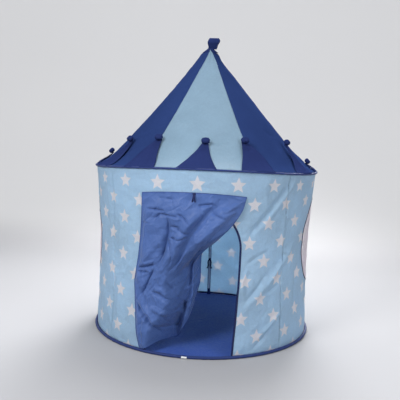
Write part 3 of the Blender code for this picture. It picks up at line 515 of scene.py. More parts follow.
def wallPoint(azimuth, height, out=0.0):
    radius = wallRadius(height) + wallRelief(azimuth, height) + out
    return around(radius, azimuth, bentHeight(azimuth, height))


door = dict(halfWidth=0.190, rightFoot=0.171, leftFoot=0.205, spring=0.475, steps=130, legSteps=90,
            across=96)
window = dict(radius=0.200, height=0.455, steps=500, across=80, rimSteps=200)
windowSides = (("right", pi / 2), ("left", -pi / 2))


def azimuthAt(x, height):
    # azimuth at which the wall lies at sideways place x
    return np.arcsin(np.clip(x / wallRadius(height), -1, 1))


def doorEdge():
    # up the left leg, round the half circle and down the right leg, as azimuth and height; the right leg
    # draws in towards the foot by a quarter sine and the left one is pulled out by it
    legs = linspace(room["wallBottom"], door["spring"], door["legSteps"], endpoint=False)
    lean = sin(pi / 2 * (legs - room["wallBottom"]) / (door["spring"] - room["wallBottom"]))
    left = door["leftFoot"] + (door["halfWidth"] - door["leftFoot"]) * lean
    right = door["rightFoot"] + (door["halfWidth"] - door["rightFoot"]) * lean
    turn = linspace(pi, 0, door["steps"] + 1)
    x = concatenate([-left, door["halfWidth"] * cos(turn), right[::-1]])
    height = concatenate([legs, door["spring"] + door["halfWidth"] * sin(turn), legs[::-1]])
    return azimuthAt(x, height), height


def windowRim(turn):
    # circle on the wall, as azimuth from the window's middle and height
    height = window["height"] + window["radius"] * sin(turn)
    return azimuthAt(window["radius"] * cos(turn), height), height


def boxReach(arc, height, left, right, top, bottom):
    # from a centre at arc 0, height 0 along each direction to the edge of a box round it
    tiny = 1e-9
    arc = np.where(np.abs(arc) < tiny, np.where(arc > 0, tiny, -tiny), arc)
    level = np.abs(height) < tiny
    upright = np.where(level, np.inf, np.where(height > 0, top, bottom) / np.where(level, 1, height))
    return np.minimum(np.where(arc > 0, right, left) / arc, upright)


def cornerTurns(count, corners):
    # turns round a circle, evenly spread between the corners of the panel, which are kept
    corners = sorted(corners)
    parts = []
    for start, span in zip(corners, np.diff(corners + [corners[0] + 2 * pi])):
        steps = max(4, int(round(count * span / (2 * pi))))
        parts.append(start + span * np.arange(steps) / steps)
    return concatenate(parts)


def wallCloth(name, inner, outer, steps, facing=0.0, closed=False):
    # straight lines in the flat cloth from the opening's edge to the panel's edge, each an arc and a height
    share = (np.arange(steps + 1) / steps)[:, None]
    azimuth = (inner[0] + (outer[0] - inner[0]) * share) / flatRadius + facing
    height = inner[1] + (outer[1] - inner[1]) * share
    flatMap = stack([azimuth * flatRadius, height], axis=2)
    item = makeSurface(name, wallPoint(azimuth, height), "wall", "wallInside", flatMap=flatMap,
                       wrapAcross=closed, flip=closed)
    thicken(item, 0.0008, -1, 1)
    return item


seam = radians(room["seamAzimuth"])
gap = 0.0006
edgeAzimuth, edgeHeight = doorEdge()
arc = edgeAzimuth * flatRadius
aboveSpring = np.maximum(edgeHeight - door["spring"], 0)
panelEdge = (seam - gap) * flatRadius
reach = boxReach(arc, aboveSpring, -panelEdge, panelEdge, room["wallTop"] - door["spring"], -1)
outerHeight = np.where(edgeHeight > door["spring"], door["spring"] + aboveSpring * reach, edgeHeight)
outerArc = arc * reach
# the two upper corners of the panel are drawn onto the nearest lines
for side in (1, -1):
    corner = np.argmin(np.abs(outerArc - side * panelEdge) + np.abs(outerHeight - room["wallTop"]))
    outerArc[corner] = side * panelEdge
    outerHeight[corner] = room["wallTop"]
frontWall = wallCloth("wallFront", (arc, edgeHeight), (outerArc, outerHeight), door["across"])
dress(frontWall, "star_cloth", "wall_front")

for side, facing in windowSides:
    start, end = (seam + gap, pi - gap) if side == "right" else (-pi + gap, -seam - gap)
    left, right = (start - facing) * flatRadius, (end - facing) * flatRadius
    top, bottom = room["wallTop"] - window["height"], room["wallBottom"] - window["height"]
    corners = [np.arctan2(v, u) % (2 * pi) for u in (left, right) for v in (top, bottom)]
    turn = cornerTurns(window["steps"], corners)
    azimuth, height = windowRim(turn)
    reach = boxReach(cos(turn), sin(turn), left, right, top, bottom)
    outer = (reach * cos(turn), window["height"] + reach * sin(turn))
    inner = (azimuth * flatRadius, height)
    wall = wallCloth("wall" + side.title(), inner, outer, window["across"], facing, True)
    dress(wall, "star_cloth", "wall_" + side)
print("wall made")


# bindings folded round the edges of the doorway and the windows

binding = dict(width=0.0075, thickness=0.0007, lip=0.0012, gap=0.0003, halfCloth=0.0005, seat=0.0004)


def bindingAlong(name, azimuth, height, inwardArc, inwardHeight, closed, replaced):
    # a U of tape, walked round in section, placed on the wall's own surface at every station
    near = binding["halfCloth"] + binding["gap"]
    far = near + binding["thickness"]
    edge = -binding["width"]
    turn = linspace(pi / 2, -pi / 2, 7)
    bend = stack([binding["lip"] * cos(turn) + binding["gap"], far * sin(turn)], axis=1)
    inner = stack([binding["gap"] + 0 * turn, near * sin(turn[::-1])], axis=1)
    section = concatenate([[(edge, far)], bend, [(edge, -far), (edge, -near)], inner, [(edge, near)]])
    places = azimuth[:, None] + section[:, 0] * inwardArc[:, None] / flatRadius
    heights = height[:, None] + section[:, 0] * inwardHeight[:, None]
    puckered = 1 + 0.12 * sin(np.arange(len(azimuth)) * 1.7)[:, None]
    grid = wallPoint(places, heights, (section[:, 1] - binding["seat"]) * puckered)
    item = makeSurface(name, grid, "tape", wrapDown=closed, wrapAcross=True, caps=not closed)
    dress(item, "navy_binding", replaced)


turn = linspace(pi, 0, door["steps"] + 1)
legs = np.ones(door["legSteps"])
bindingAlong("doorBinding", edgeAzimuth, edgeHeight, concatenate([legs, -cos(turn), -legs]),
             concatenate([0 * legs, -sin(turn), 0 * legs]), False, "door_binding")
turn = fullTurn(window["rimSteps"])
azimuth, height = windowRim(turn)
for side, facing in windowSides:
    bindingAlong("windowBinding" + side.title(), azimuth + facing, height, -cos(turn), -sin(turn), True,
                 "window_binding_" + side)
print("bindings made")


# open net in the windows: two layers of fine tape at right angles, each strand following the wall

net = dict(pitch=0.0062, strand=0.0011, thickness=0.0005, rimGap=0.0016, upLayer=0.0001, sideLayer=-0.0006,
           steps=26)


def netStrands(facing, upright):
    # strands side by side; each runs from rim to rim of the circle at its own place
    reach = window["radius"] - net["rimGap"]
    places = np.arange(-reach + net["pitch"], reach - net["pitch"] / 2, net["pitch"])
    along = linspace(-1, 1, net["steps"])[None, :] * np.sqrt(reach ** 2 - places[:, None] ** 2)
    half = net["strand"] / 2
    rings = []
    for sideways, outward in ((half, half), (-half, half), (-half, -half), (half, -half)):
        aside = places[:, None] + sideways + 0 * along
        x, z = (aside, along) if upright else (along, aside)
        height = window["height"] + z
        out = outward * net["thickness"] / net["strand"] + net["upLayer" if upright else "sideLayer"]
        rings.append(wallPoint(azimuthAt(x, height) + facing, height, out))
    begins = np.arange(len(places))[:, None] * net["steps"] * 4
    faces = (gridQuads(net["steps"], 4, net["steps"] - 1, 4)[None] + begins[..., None]).reshape(-1, 4)
    ends = begins + (net["steps"] - 1) * 4 + np.arange(4)
    return stack(rings, axis=2).reshape(-1, 3), concatenate([faces, begins + np.arange(4)[::-1], ends])


for side, facing in windowSides:
    upPoints, upFaces = netStrands(facing, True)
    sidePoints, sideFaces = netStrands(facing, False)
    mesh = bpy.data.meshes.new("windowNet" + side.title())
    mesh.from_pydata(np.vstack([upPoints, sidePoints]).tolist(), [],
                     np.vstack([upFaces[:, ::-1], sideFaces + len(upPoints)]).tolist())
    mesh.uv_layers.new(name="UVMap")
    mesh.materials.append(looks["net"])
    dress(show(mesh.name, mesh), "net", "window_net_" + side)
print("nets made")


# hoops in their sleeves and the floor

hoops = dict(baseHeight=0.0075, baseSleeve=0.0069, eaveSleeve=0.0045)
floor = dict(gap=0.004, lift=0.0016, waves=0.0012, thickness=0.001)


def hoopSleeve(name, ringRadius, height, radius, replaced):
    # round tube of gathered cloth carried round the hoop, with small puckers along it
    turn = fullTurn(300)
    pucker = 1 + 0.05 * sin(turn * 71) + 0.04 * sin(turn * 113 + 1)
    item = sweep(name, around(ringRadius, turn, bentHeight(turn, height)),
                 roundRing(radius, 12) * pucker[:, None, None], upwards, "hoop", closed=True)
    dress(item, "navy_binding", replaced)


hoopSleeve("baseHoopSleeve", room["baseHoop"], hoops["baseHeight"], hoops["baseSleeve"], "base_hoop_sleeve")
hoopSleeve("eaveHoopSleeve", room["eaveHoop"], room["eaveHeight"], hoops["eaveSleeve"], "eave_hoop_sleeve")

# the floor is a disc with shallow waves that die out towards its edge
turn = fullTurn(180)[None, :]
share = linspace(0.004, 1, 40)[:, None]
radius = share * (room["baseRadius"] - floor["gap"])
waves = 1 + ripple(radius * cos(turn), radius * sin(turn), 5, 10, 0.22)
grid = around(radius, turn, floor["lift"] + floor["waves"] * waves * (1 - share ** 6))
floorSheet = makeSurface("floorSheet", grid, "floor", flatMap=grid[..., :2], wrapAcross=True, flip=True)
thicken(floorSheet, floor["thickness"], -1)
dress(floorSheet, "navy_floor", "floor_sheet")
width = 2 * (room["baseRadius"] - floor["gap"])
print("hoops and floor made")


# roof

roof = dict(straightShare=0.93, flareReach=0.045, topRadius=0.028, tipRadius=0.01, tipRise=0.007,
            slope=47.4, rows=104, tipRows=26, columns=46, seamGap=0.0004, seamEdge=0.001, thickness=0.0008)
roofCreases = dict(hollow=0.004, foot=0.0016, top=0.0012, waves=0.0009, crush=0.0014, shoulder=0.011,
                   fullLeft=0.015, fullRight=0.005)
# seams beside the front panel in degrees by the share of the way up, as they hang in the photograph
seamShares = array([0, 0.33, 0.58, 0.73, 0.82, 0.913, 0.964, 0.99, 1.0])
leftSeam = array([-29.5, -27.5, -26.1, -24.5, -22.1, -14.0, -7.0, -2.0, -1.0])
rightSeam = array([29.5, 29.0, 28.9, 28.8, 28.2, 26.8, 19.0, 5.0, 3.0])


def roofRadius(share):
    # straight cone that flares out to the eave over its lowest part, keeps a small ring near the top
    # and is gathered in to the loop at the very top
    straight = roof["straightShare"]
    cone = straight * (1 - share) + (1 - straight) * np.exp(-share / roof["flareReach"])
    gather = (roof["topRadius"] - roof["tipRadius"]) * ease((share - 0.955) / 0.045)
    return room["eaveRadius"] * cone + roof["topRadius"] * share ** 4 - gather


def roofPoint(share, azimuth, out=0.0):
    # point on the roof cloth moved outwards, square to the slope, by out
    slope = radians(roof["slope"])
    radius = roofRadius(share) + out * sin(slope)
    height = room["roofBottom"] + (room["apexHeight"] - room["roofBottom"]) * share + out * cos(slope)
    height = height + roof["tipRise"] * ease((share - 0.95) / 0.05)
    return around(radius, azimuth, bentHeight(azimuth, height))


def roofRelief(share, azimuth):
    # shallow hollow between the seams, puckers that run up from the eave and down from the apex, waves and
    # creases; hollow at the right shoulder and fuller at both sides of the foot
    part = ((azimuth + pi / 6) % (pi / 3)) / (pi / 3)
    degrees = np.degrees(azimuth)
    hollow = -roofCreases["hollow"] * sin(pi * part) * sin(pi * np.clip(share, 0, 1)) ** 0.7
    low = sin(azimuth * 74 + 2 * sin(azimuth * 9)) * np.exp(-share / 0.05) * ease(share / 0.01)
    high = sin(azimuth * 24 + 1) * share ** 5
    small = ripple(azimuth * room["eaveRadius"] * (1 - 0.8 * share), share * 0.72, 12, 10, 0.17)
    crushed = crumple(azimuth * 0.5, share * 0.72, 77, 60, (-3.1 * 0.5, 3.1 * 0.5, 0.02, 0.5), 0.12, 0.012)
    fine = roofCreases["foot"] * low + roofCreases["top"] * high
    fine = fine + roofCreases["waves"] * small + roofCreases["crush"] * crushed
    shoulder = -roofCreases["shoulder"] * bell(degrees - 75, 32) * bell(share - 0.90, 0.09)
    full = roofCreases["fullLeft"] * bell(degrees + 90, 34)
    full = full + roofCreases["fullRight"] * bell(degrees - 90, 20)
    full = full * bell(share - 0.085, 0.065) * ease(share / 0.02)
    return hollow + fine * ease((1 - share) / 0.05) + shoulder + full


def roofSeam(number, share):
    # seam to the left of panel number: the two front ones as measured, the others drawn in at the top
    if number in (0, 1):
        return radians(smoothTable(share, seamShares, leftSeam if number == 0 else rightSeam))
    light = 1 if number % 2 else -1
    return radians(60 * number - 30) - light * radians(20) * ease((share - 0.86) / 0.14)


lower = linspace(0, 0.94, roof["rows"], endpoint=False)
share = concatenate([lower, linspace(0.94, 1, roof["tipRows"])])[:, None]
places = linspace(-1, 1, roof["columns"])[None, :]
for number in range(6):
    start = roofSeam(number, share)
    end = roofSeam((number + 1) % 6, share) + (2 * pi if number == 5 else 0)
    half = (end - start) / 2 - roof["seamGap"] / roofRadius(share)
    azimuth = (start + end) / 2 + half * places
    edge = roof["seamEdge"] * bell((np.abs(places) - 1) * half * roofRadius(share), 0.0035)
    grid = roofPoint(share, azimuth, roofRelief(share, azimuth) + edge)
    slant = runAlong(grid[:, 20])
    flatAcross = (azimuth - number * pi / 3) * roofRadius(share)
    flatMap = stack(np.broadcast_arrays(flatAcross, slant[:, None]), axis=2)
    kind = "dark" if number % 2 else "light"
    panel = makeSurface(f"roofPanel{number + 1}", grid, kind + "Roof", flatMap=flatMap)
    thicken(panel, roof["thickness"], -1)
    dress(panel, kind + "_cloth", f"roof_panel_{number + 1}")
    area = float((2 * half[:, 0] * roofRadius(share)[:, 0] * np.gradient(slant)).sum())
print("roof made")


# crown of flaps with padded knobs

crown = dict(tipHalfAngle=1.8, footShare=-0.004, seat=0.0028, bulge=0.0045, fold=0.0030, waves=0.0012,
             thickness=0.0010, knobWidth=0.0185, knobHeight=0.0138, knobDepth=0.0115, knobLift=0.0035)
# for each flap, in degrees from its middle: left and right end of its foot, its tip, the bow of its left
# and right edge; then the place of its tip up the roof and how far it stands off
flapShapes = [(-9.8, 9.0, 3.3, 0.6, -0.8, 0.190, 0.004), (-9.9, 7.6, -2.5, 1.0, 3.5, 0.200, 0.010),
              (-8.0, 9.0, 6.5, 4.0, 0.5, 0.205, 0.016), (-9.0, 9.0, -3.0, 0.5, -0.5, 0.060, 0.000),
              (-9.2, 9.2, 0.5, 0.5, -0.8, 0.200, 0.005), (-9.0, 9.4, 1.0, 1.0, 0.6, 0.195, 0.003),
              (-9.3, 9.0, -1.0, -0.5, 0.9, 0.205, 0.005), (-9.2, 9.2, 0.4, 0.8, -0.6, 0.190, 0.004),
              (-9.0, 9.3, -0.8, 0.4, 0.7, 0.200, 0.003), (-9.0, 11.0, 3.0, -0.6, 1.0, 0.088, 0.004),
              (-9.2, 10.5, 6.0, 0.5, 1.0, 0.195, 0.010), (-7.4, 10.2, 3.0, -3.0, -1.0, 0.205, 0.006)]


def filledOut(value):
    return np.sign(value) * np.abs(value) ** 0.75


def makeKnob(number, azimuth, tipShare, standOff):
    # pleated cushion: an egg with the corners of its plan filled out by a power, and a dimple on top
    turn = fullTurn(28)[None, :, None]
    rise = linspace(-pi / 2 + 0.04, pi / 2 - 0.04, 19)[:, None, None]
    wide = cos(rise) ** 0.7 * (1 + 0.05 * sin(turn * 9 + number) * cos(rise))
    deep = sin(rise) * (1 - 0.22 * bell(rise - pi / 2, 0.5))
    out = crown["knobDepth"] + crown["knobLift"] + standOff + roofRelief(tipShare, azimuth)
    slope = radians(roof["slope"])
    sideways = around(1.0, azimuth + pi / 2, 0.0)
    outward = around(sin(slope), azimuth, cos(slope))
    grid = roofPoint(tipShare, azimuth, out) + crown["knobWidth"] * wide * filledOut(cos(turn)) * sideways
    grid = grid + crown["knobHeight"] * wide * filledOut(sin(turn)) * np.cross(outward, sideways)
    grid = grid + crown["knobDepth"] * deep * outward
    return makeSurface(f"crownKnob{number + 1:02d}", grid, "navy", wrapAcross=True, caps=True)


# a flap narrows from foot to tip between edges bowed by a half sine; it lies on the roof and bulges off it
# by a half sine up its length and a parabola across
share = linspace(0, 1, 36)[:, None]
across = linspace(-1, 1, 21)[None, :]
for number, (footLeft, footRight, lean, bowLeft, bowRight, tipShare, standOff) in enumerate(flapShapes):
    bow = sin(pi * share)
    left = footLeft + (lean - crown["tipHalfAngle"] - footLeft) * share + bowLeft * bow
    right = footRight + (lean + crown["tipHalfAngle"] - footRight) * share + bowRight * bow
    azimuth = radians(30 * number) + radians((left + right) / 2 + (right - left) / 2 * across)
    up = crown["footShare"] + (tipShare - crown["footShare"]) * share
    full = crown["bulge"] * sin(pi * share ** 0.8) * (1 - across ** 2 * 0.75)
    fold = crown["waves"] * ripple(across, share * 1.3, 40 + number, 6, 0.9)
    fold = fold - crown["fold"] * foldLine(across, share, ((-0.5, 0.76), (0, 0.72), (0.5, 0.80)), 0.05)
    out = crown["seat"] + full + fold * ease(share / 0.1) + standOff * share
    grid = roofPoint(up, azimuth, out + roofRelief(np.maximum(up, 0), azimuth))
    flap = makeSurface(f"crownFlap{number + 1:02d}", grid, "navy")
    thicken(flap, crown["thickness"], -1)
    knob = makeKnob(number, radians(30 * number + lean), tipShare, standOff)
    dress(knob, "navy_cloth")
    dress(flap, "navy_cloth", f"crown_flap_{number + 1:02d}")
    width = radians(footRight - footLeft) * room["eaveRadius"]
    length = float(runAlong(grid[:, 10])[-1])
    area = float((radians(right - left) * roofRadius(np.maximum(up, 0))).mean()) * length
print("crown made")


# patch and hanging loop at the apex

# patch over the gathered top: it lies on the roof and is cut back over the tips of the light panels
turn = fullTurn(72)[None, :]
fromLight = (turn + pi / 3) % (2 * pi / 3) - pi / 3
edge = 0.968 + 0.020 * bell(fromLight, 0.30)
down = linspace(0, 1, 9)[:, None]
above = roofPoint(edge + (1 - edge) * down, turn, 0.0022)
below = roofPoint(1 + (edge - 1) * down, turn, 0.0010)
patch = makeSurface("apexPatch", concatenate([below, above]), "navy", wrapAcross=True, caps=True)
dress(patch, "navy_cloth", "apex_patch")

# the loop's tape runs up one leg, round a bend and down the other, spread in its middle, leaning right
loop = dict(foot=1.3443, seat=0.0018, bendRadius=0.017, bendHeight=0.034, tape=0.0024, edge=0.06,
            aside=0.008, lean=0.009, wave=0.0012, softReach=0.02)
loopShares = array([0, 0.2, 0.45, 0.7, 0.88, 1.0])
loopWidths = array([0.042, 0.043, 0.049, 0.056, 0.052, 0.044])
lean = np.arcsin(loop["bendRadius"] / loop["bendHeight"])
bend = linspace(-lean, pi + lean, 60)
risen = linspace(0, 1, 24, endpoint=False)
legY = loop["bendRadius"] * cos(lean) * risen
legZ = (loop["bendHeight"] - loop["bendRadius"] * sin(lean)) * risen
pathY = concatenate([legY, loop["bendRadius"] * cos(bend), -legY[::-1]])
pathZ = concatenate([legZ, loop["bendHeight"] + loop["bendRadius"] * sin(bend), legZ[::-1]])
share = np.clip(pathZ / (loop["bendHeight"] + loop["bendRadius"]), 0, 1)
pathX = loop["aside"] + loop["lean"] * share + loop["wave"] * sin(pathZ * 190)
path = stack([pathX, pathY, loop["foot"] + loop["seat"] + pathZ], axis=1)
tangent = unit(np.gradient(path, axis=0))
ring = flatRing(1.0, loop["edge"])[None]
width = smoothTable(share, loopShares, loopWidths)[:, None, None]
grid = path[:, None] + ring[..., :1] * width * array([1.0, 0, 0])
grid = grid + ring[..., 1:] / loop["edge"] * loop["tape"] * np.cross(tangent, (1.0, 0, 0))[:, None]
tapeLoop = makeSurface("hangingLoop", grid, "navy", wrapAcross=True, caps=True)
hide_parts("hanging_loop")
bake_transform(tapeLoop)
print("apex made")


# door curtain

curtain = dict(top=0.7165, topBow=0.0145, cloth=0.0007, width=0.456, drop=0.7, meanDrop=0.655,
               reachIn=0.15, folds=1.6, crease=0.0034, waves=0.003, crush=0.0026, billow=0.021,
               swing=0.012, seat=0.002, reach=0.04, across=180, down=260)
# height of the hem by the share across: left corner at the hoop, the rest lifted where it turns in
hemShares = array([0, 0.10, 0.20, 0.30, 0.42, 0.52, 0.62, 0.75, 0.88, 1.0])
hemHeights = array([0.0165, 0.019, 0.030, 0.044, 0.041, 0.040, 0.054, 0.096, 0.140, 0.205])
# left and right edges in degrees by the share of the drop, read by a smooth curve
leftShares = array([0, 0.25, 0.4, 0.5, 0.57, 0.65, 0.8, 0.9, 1.0])
leftAzimuths = array([-26.4, -27.6, -28.9, -30.2, -31.0, -30.6, -29.6, -28.8, -26.6])
rightShares = array([0, 0.11, 0.21, 0.32, 0.445, 0.525, 0.64, 0.8, 0.9, 1.0])
rightAzimuths = array([23.6, 21.7, 18.4, 13.6, 8.9, 4.0, 2.8, 2.8, 1.0, -0.7])
# folds: points of (across, down) in hundredths of the cloth, then width and depth in mm; they run down and
# to the left from the top right corner, then burst out from where the cloth turns in over the floor
curtainFolds = [
    ([(28, 13), (32, 19), (35, 26), (36, 38), (35, 48)], 14, -12), ([(33, 28), (24, 35), (8, 45)], 22, 8),
    ([(86, 2), (73, 9), (63, 19), (59, 26), (56, 42), (52, 56)], 22, -20),
    ([(58, 10), (51, 22), (46, 36), (44, 50), (47, 60)], 30, 15),
    ([(97, 10), (84, 16), (75, 30), (71, 46), (68, 60), (70, 74)], 28, 26),
    ([(52, 54), (56, 62), (61, 70), (70, 82), (76, 92)], 18, -17),
    ([(30, 65), (45, 66), (60, 71), (72, 85)], 11, -8), ([(34, 63), (48, 63), (58, 67)], 12, 7),
    ([(3, 68), (13, 76), (25, 83), (33, 89), (38, 97)], 14, -15),
    ([(10, 66), (24, 78), (36, 85), (47, 93)], 20, 11),
    ([(30, 86), (44, 91), (58, 92), (70, 88)], 10, -8), ([(0, 48.7), (14, 47.8), (33, 47)], 9, -8),
    ([(2, 46.2), (16, 45.5), (30, 45)], 9, 5.5), ([(5, 50.7), (14, 51), (25, 52)], 8, -6),
    ([(34, 49), (28, 56), (22, 62), (13, 67)], 13, -8.5),
    ([(26, 75), (42, 77), (56, 80), (70, 86)], 13, 8.5), ([(28, 14.5), (40, 16.5), (50, 16)], 9, 5),
    ([(33, 21.5), (42, 22), (50, 25), (60, 27.8)], 9, -7), ([(37, 28.5), (48, 30), (60, 28.5)], 9, -7),
    ([(6, 10), (16, 10.8), (28, 12)], 8, -6), ([(15, 18), (22, 13.6), (34, 15), (44, 16.5)], 8, -6),
    ([(56, 8.2), (64, 7.4), (72, 7)], 8, -6), ([(18, 3.4), (26, 4), (33, 4.8)], 7, -4.5),
    ([(70, 11), (78, 15), (86, 17.5)], 9, -7), ([(76, 13), (85, 10.5), (96, 5.5)], 12, 7.5),
    ([(38, 13), (48, 16.5), (55, 21.5)], 8, -6), ([(32, 29), (42, 34), (47, 40), (50, 48)], 12, -8),
    ([(99, 62), (88, 68), (76, 73)], 10, 10), ([(62, 36), (60, 45), (62, 54)], 12, 8),
    ([(80, 36), (77, 48), (76, 60)], 14, -11), ([(90, 42), (87, 60), (86, 80), (88, 96)], 20, 20),
    ([(6, 20), (9, 28), (7, 36)], 10, 4.5), ([(10, 58), (9, 64), (6, 70)], 12, 6),
    ([(15, 92), (20, 86), (18, 80)], 14, 8),
]


def curtainPoint(across, down):
    # hangs outside the wall on its left; its right side is drawn over on a slant and turned in through the
    # doorway, and its hem rises from the left corner to the right one
    top = curtain["top"] - curtain["topBow"] * (2 * across - 1) ** 2
    height = top + (smoothTable(across, hemShares, hemHeights) - top) * down
    left = radians(smoothTable(down, leftShares, leftAzimuths))
    right = radians(smoothTable(down, rightShares, rightAzimuths))
    turnStart = 0.50 - 0.34 * ease((down - 0.70) / 0.30)
    turned = ease((down - 0.27) / 0.30) * ease((across - turnStart) / 0.34)
    sides = ease(across / 0.10) * (0.35 + 0.65 * ease((1 - across) / 0.16))
    billow = curtain["billow"] * ease(down / 0.14) * sides * ease((1.04 - down) / 0.08)
    wide, tall = across * curtain["width"], down * curtain["drop"]
    box = (0, curtain["width"], 0, curtain["drop"])
    relief = curtain["waves"] * ripple(wide, tall, 21, 12, 0.14)
    relief = relief + curtain["crush"] * crumple(wide, tall, 23, 90, box, 0.13, 0.004)
    for points, width, depth in curtainFolds:
        line = array(points) / 100 * (curtain["width"], curtain["drop"])
        relief = relief + curtain["folds"] * depth / 1000 * foldLine(wide, tall, line, width / 1000)
        relief = relief - curtain["crease"] * foldLine(wide, tall, line, 0.0036)
    relief = relief * ease(down / 0.05) * ease(across / 0.05) * (0.25 + 0.75 * ease((1 - across) / 0.12))
    # the cloth never passes through the wall: what would is pressed against it
    offset = curtain["reach"] * np.tanh((billow + relief) / curtain["reach"])
    offset = curtain["seat"] + (offset + np.sqrt(offset ** 2 + 0.004 ** 2)) / 2
    offset = offset + curtain["swing"] * sin(2 * pi * (2.2 * across + 0.6 * down)) * turned
    radius = wallRadius(height) + offset - curtain["reachIn"] * turned
    return around(radius, left + (right - left) * across, height)


across, down = np.meshgrid(linspace(0, 1, curtain["across"]), linspace(0, 1, curtain["down"]))
flatMap = stack([across * curtain["width"], -down * curtain["drop"]], axis=2)
curtainCloth = makeSurface("doorCurtain", curtainPoint(across, down), "curtain", flatMap=flatMap, flip=True)
thicken(curtainCloth, curtain["cloth"])
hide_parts("door_curtain")
along = linspace(0, 1, 220)
hems = []
for name, across, down in (("Left", 0 * along, along), ("Right", 0 * along + 1, along),
                           ("Bottom", along, 0 * along + 1), ("Top", along, 0 * along)):
    path = curtainPoint(across, down)
    hems.append(sweep("curtainHem" + name, path, roundRing(0.0014, 8), (0.3, 1, 0.2), "hem"))

# ribbon at the middle of the top: a knot and two tails that bow out a little
tieTop = curtainPoint(array(0.515), array(0.012)) + array([0, -0.0035, 0.004])
share = linspace(0, 1, 24)
tie = []
for name, side in (("Right", 1), ("Left", -1)):
    path = stack([side * 0.006 * share, -0.002 - 0.003 * sin(pi * share), -0.034 * share], axis=1)
    tie.append(sweep("curtainTieTail" + name, tieTop + path, flatRing(0.006, 0.0008), (0, 1, 0), "tape"))
tie.append(makeKnot("curtainTieKnot", tieTop, array([1, 0, 0]), array([0, 1, 0]),
                    (0.0065, 0.0030, 0.0055), 20, 13))
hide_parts("curtain_tie")
for piece in [curtainCloth] + hems + tie:
    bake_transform(piece)
print("curtain made")


# tapes over the seams inside, pockets, ribbons and the tag

ribbon = dict(low=0.210, high=0.520, band=0.0056, knotOut=0.0075, wallGap=0.0022, spread=0.013, tail=0.055)
# the pocket's profile, radius and height: up the outside of its cup from the flange, and down inside
pocketProfile = array([
    (0.0112, 0.003), (0.0112, 0.0042), (0.0072, 0.0048), (0.0063, 0.008), (0.0064, 0.02),
    (0.0068, 0.033), (0.0064, 0.0355), (0.005, 0.035), (0.005, 0.0052), (0.0005, 0.003)])


def makeTie(ending, height, wallGap, centre, inward, beside, replaced):
    # band round the rod, knot in front of it, tab back to the wall and two tails that hang and spread
    turn = fullTurn(40)[:, None]
    path = centre + ribbon["band"] * (cos(turn) * inward + sin(turn) * beside)
    band = sweep("poleTie" + ending, path + (height + 0.0008 * sin(turn * 2)) * upwards,
                 flatRing(0.008, 0.0009)[:, ::-1], upwards, "tape", closed=True)
    dress(band, "navy_binding", replaced)
    front = centre + inward * ribbon["knotOut"] + height * upwards
    knot = makeKnot("poleTieKnot" + ending, front, beside, inward, (0.0052, 0.0030, 0.0045), 16, 9)
    dress(knot, "navy_binding")
    path = centre - inward * linspace(ribbon["band"], wallGap, 8)[:, None] + height * upwards
    dress(sweep("poleTieTab" + ending, path, flatRing(0.0009, 0.0075), upwards, "tape"), "navy_binding")
    share = linspace(0, 1, 20)[:, None]
    aside = ribbon["spread"] * share ** 0.8 + 0.003 * sin(pi * share * 2)
    path = front + inward * (0.001 + 0.002 * sin(pi * share)) - ribbon["tail"] * share * upwards
    for hand, name in ((1, "A"), (-1, "B")):
        tail = path + beside * hand * aside
        tail = sweep("poleTieTail" + ending + name, tail, flatRing(0.008, 0.0008), inward, "tape")
        dress(tail, "navy_binding")


# a seam tape is a strip of the wall's own surface, moved inwards; a pocket is its profile turned about the
# rod, with the outside fluted by a sine
for side, azimuth in (("right", seam), ("left", -seam), ("back", pi)):
    height = linspace(room["wallBottom"], room["wallTop"], 90)[:, None]
    places = azimuth + linspace(-0.008, 0.008, 5)[None, :] / flatRadius
    tape = makeSurface("seamTape" + side.title(), wallPoint(places, height + 0 * places, -0.0024), "hem")
    thicken(tape, 0.0006)
    dress(tape, "navy_binding", "seam_tape_" + side)

    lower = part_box("pole_lower_" + side)
    centre = array([(lower[0].x + lower[1].x) / 2, (lower[0].y + lower[1].y) / 2, 0.0])
    inward = unit(-centre)
    beside = np.cross(upwards, inward)
    turn = fullTurn(32)[None, :]
    radius, height = pocketProfile[:, :1], pocketProfile[:, 1:]
    radius = radius * np.where(radius > 0.0055, 1 + 0.03 * sin(turn * 6 + height * 150), 1)
    grid = centre + (radius * cos(turn))[..., None] * inward + (radius * sin(turn))[..., None] * beside
    grid = grid + height[..., None] * upwards
    pocket = makeSurface("polePocket" + side.title(), grid, "navy", wrapAcross=True, caps=True)
    dress(pocket, "navy_cloth", "pole_pocket_" + side)

    for level in ("low", "high"):
        wallAway = np.linalg.norm(wallPoint(azimuth, ribbon[level])[:2]) - np.linalg.norm(centre)
        makeTie(level.title() + side.title(), ribbon[level], wallAway - ribbon["wallGap"], centre, inward,
                beside, f"pole_tie_{level}_{side}")

# the tag is a strip bent round the lower hoop's sleeve
tagAzimuth = radians(-3)
across = linspace(-0.012, 0.012, 24)[None, :, None]
height = linspace(0.0034, 0.0116, 12)[:, None, None]
bend = np.sqrt(0.0080 ** 2 - (height - hoops["baseHeight"]) ** 2)
out = room["baseHoop"] + bend + 0.0004 * sin(across * 290)
grid = out * around(1, tagAzimuth, 0) + across * around(1, tagAzimuth + pi / 2, 0) + height * upwards
tag = makeSurface("sewnTag", grid, "tag")
thicken(tag, 0.0005)
dress(tag, "white_tape", "sewn_tag")
print("small pieces made")


# floor, backdrop, light and camera

# powers in watts; the wide lamp overhead throws the shadow forwards, the one behind shines through the cloth
studio = dict(world=0.49, worldSeen=0.80, key=136, top=44, behind=58, fill=54, backdropGlow=0.38, wide=9.0,
              bendStart=2.4, bendRadius=1.6)


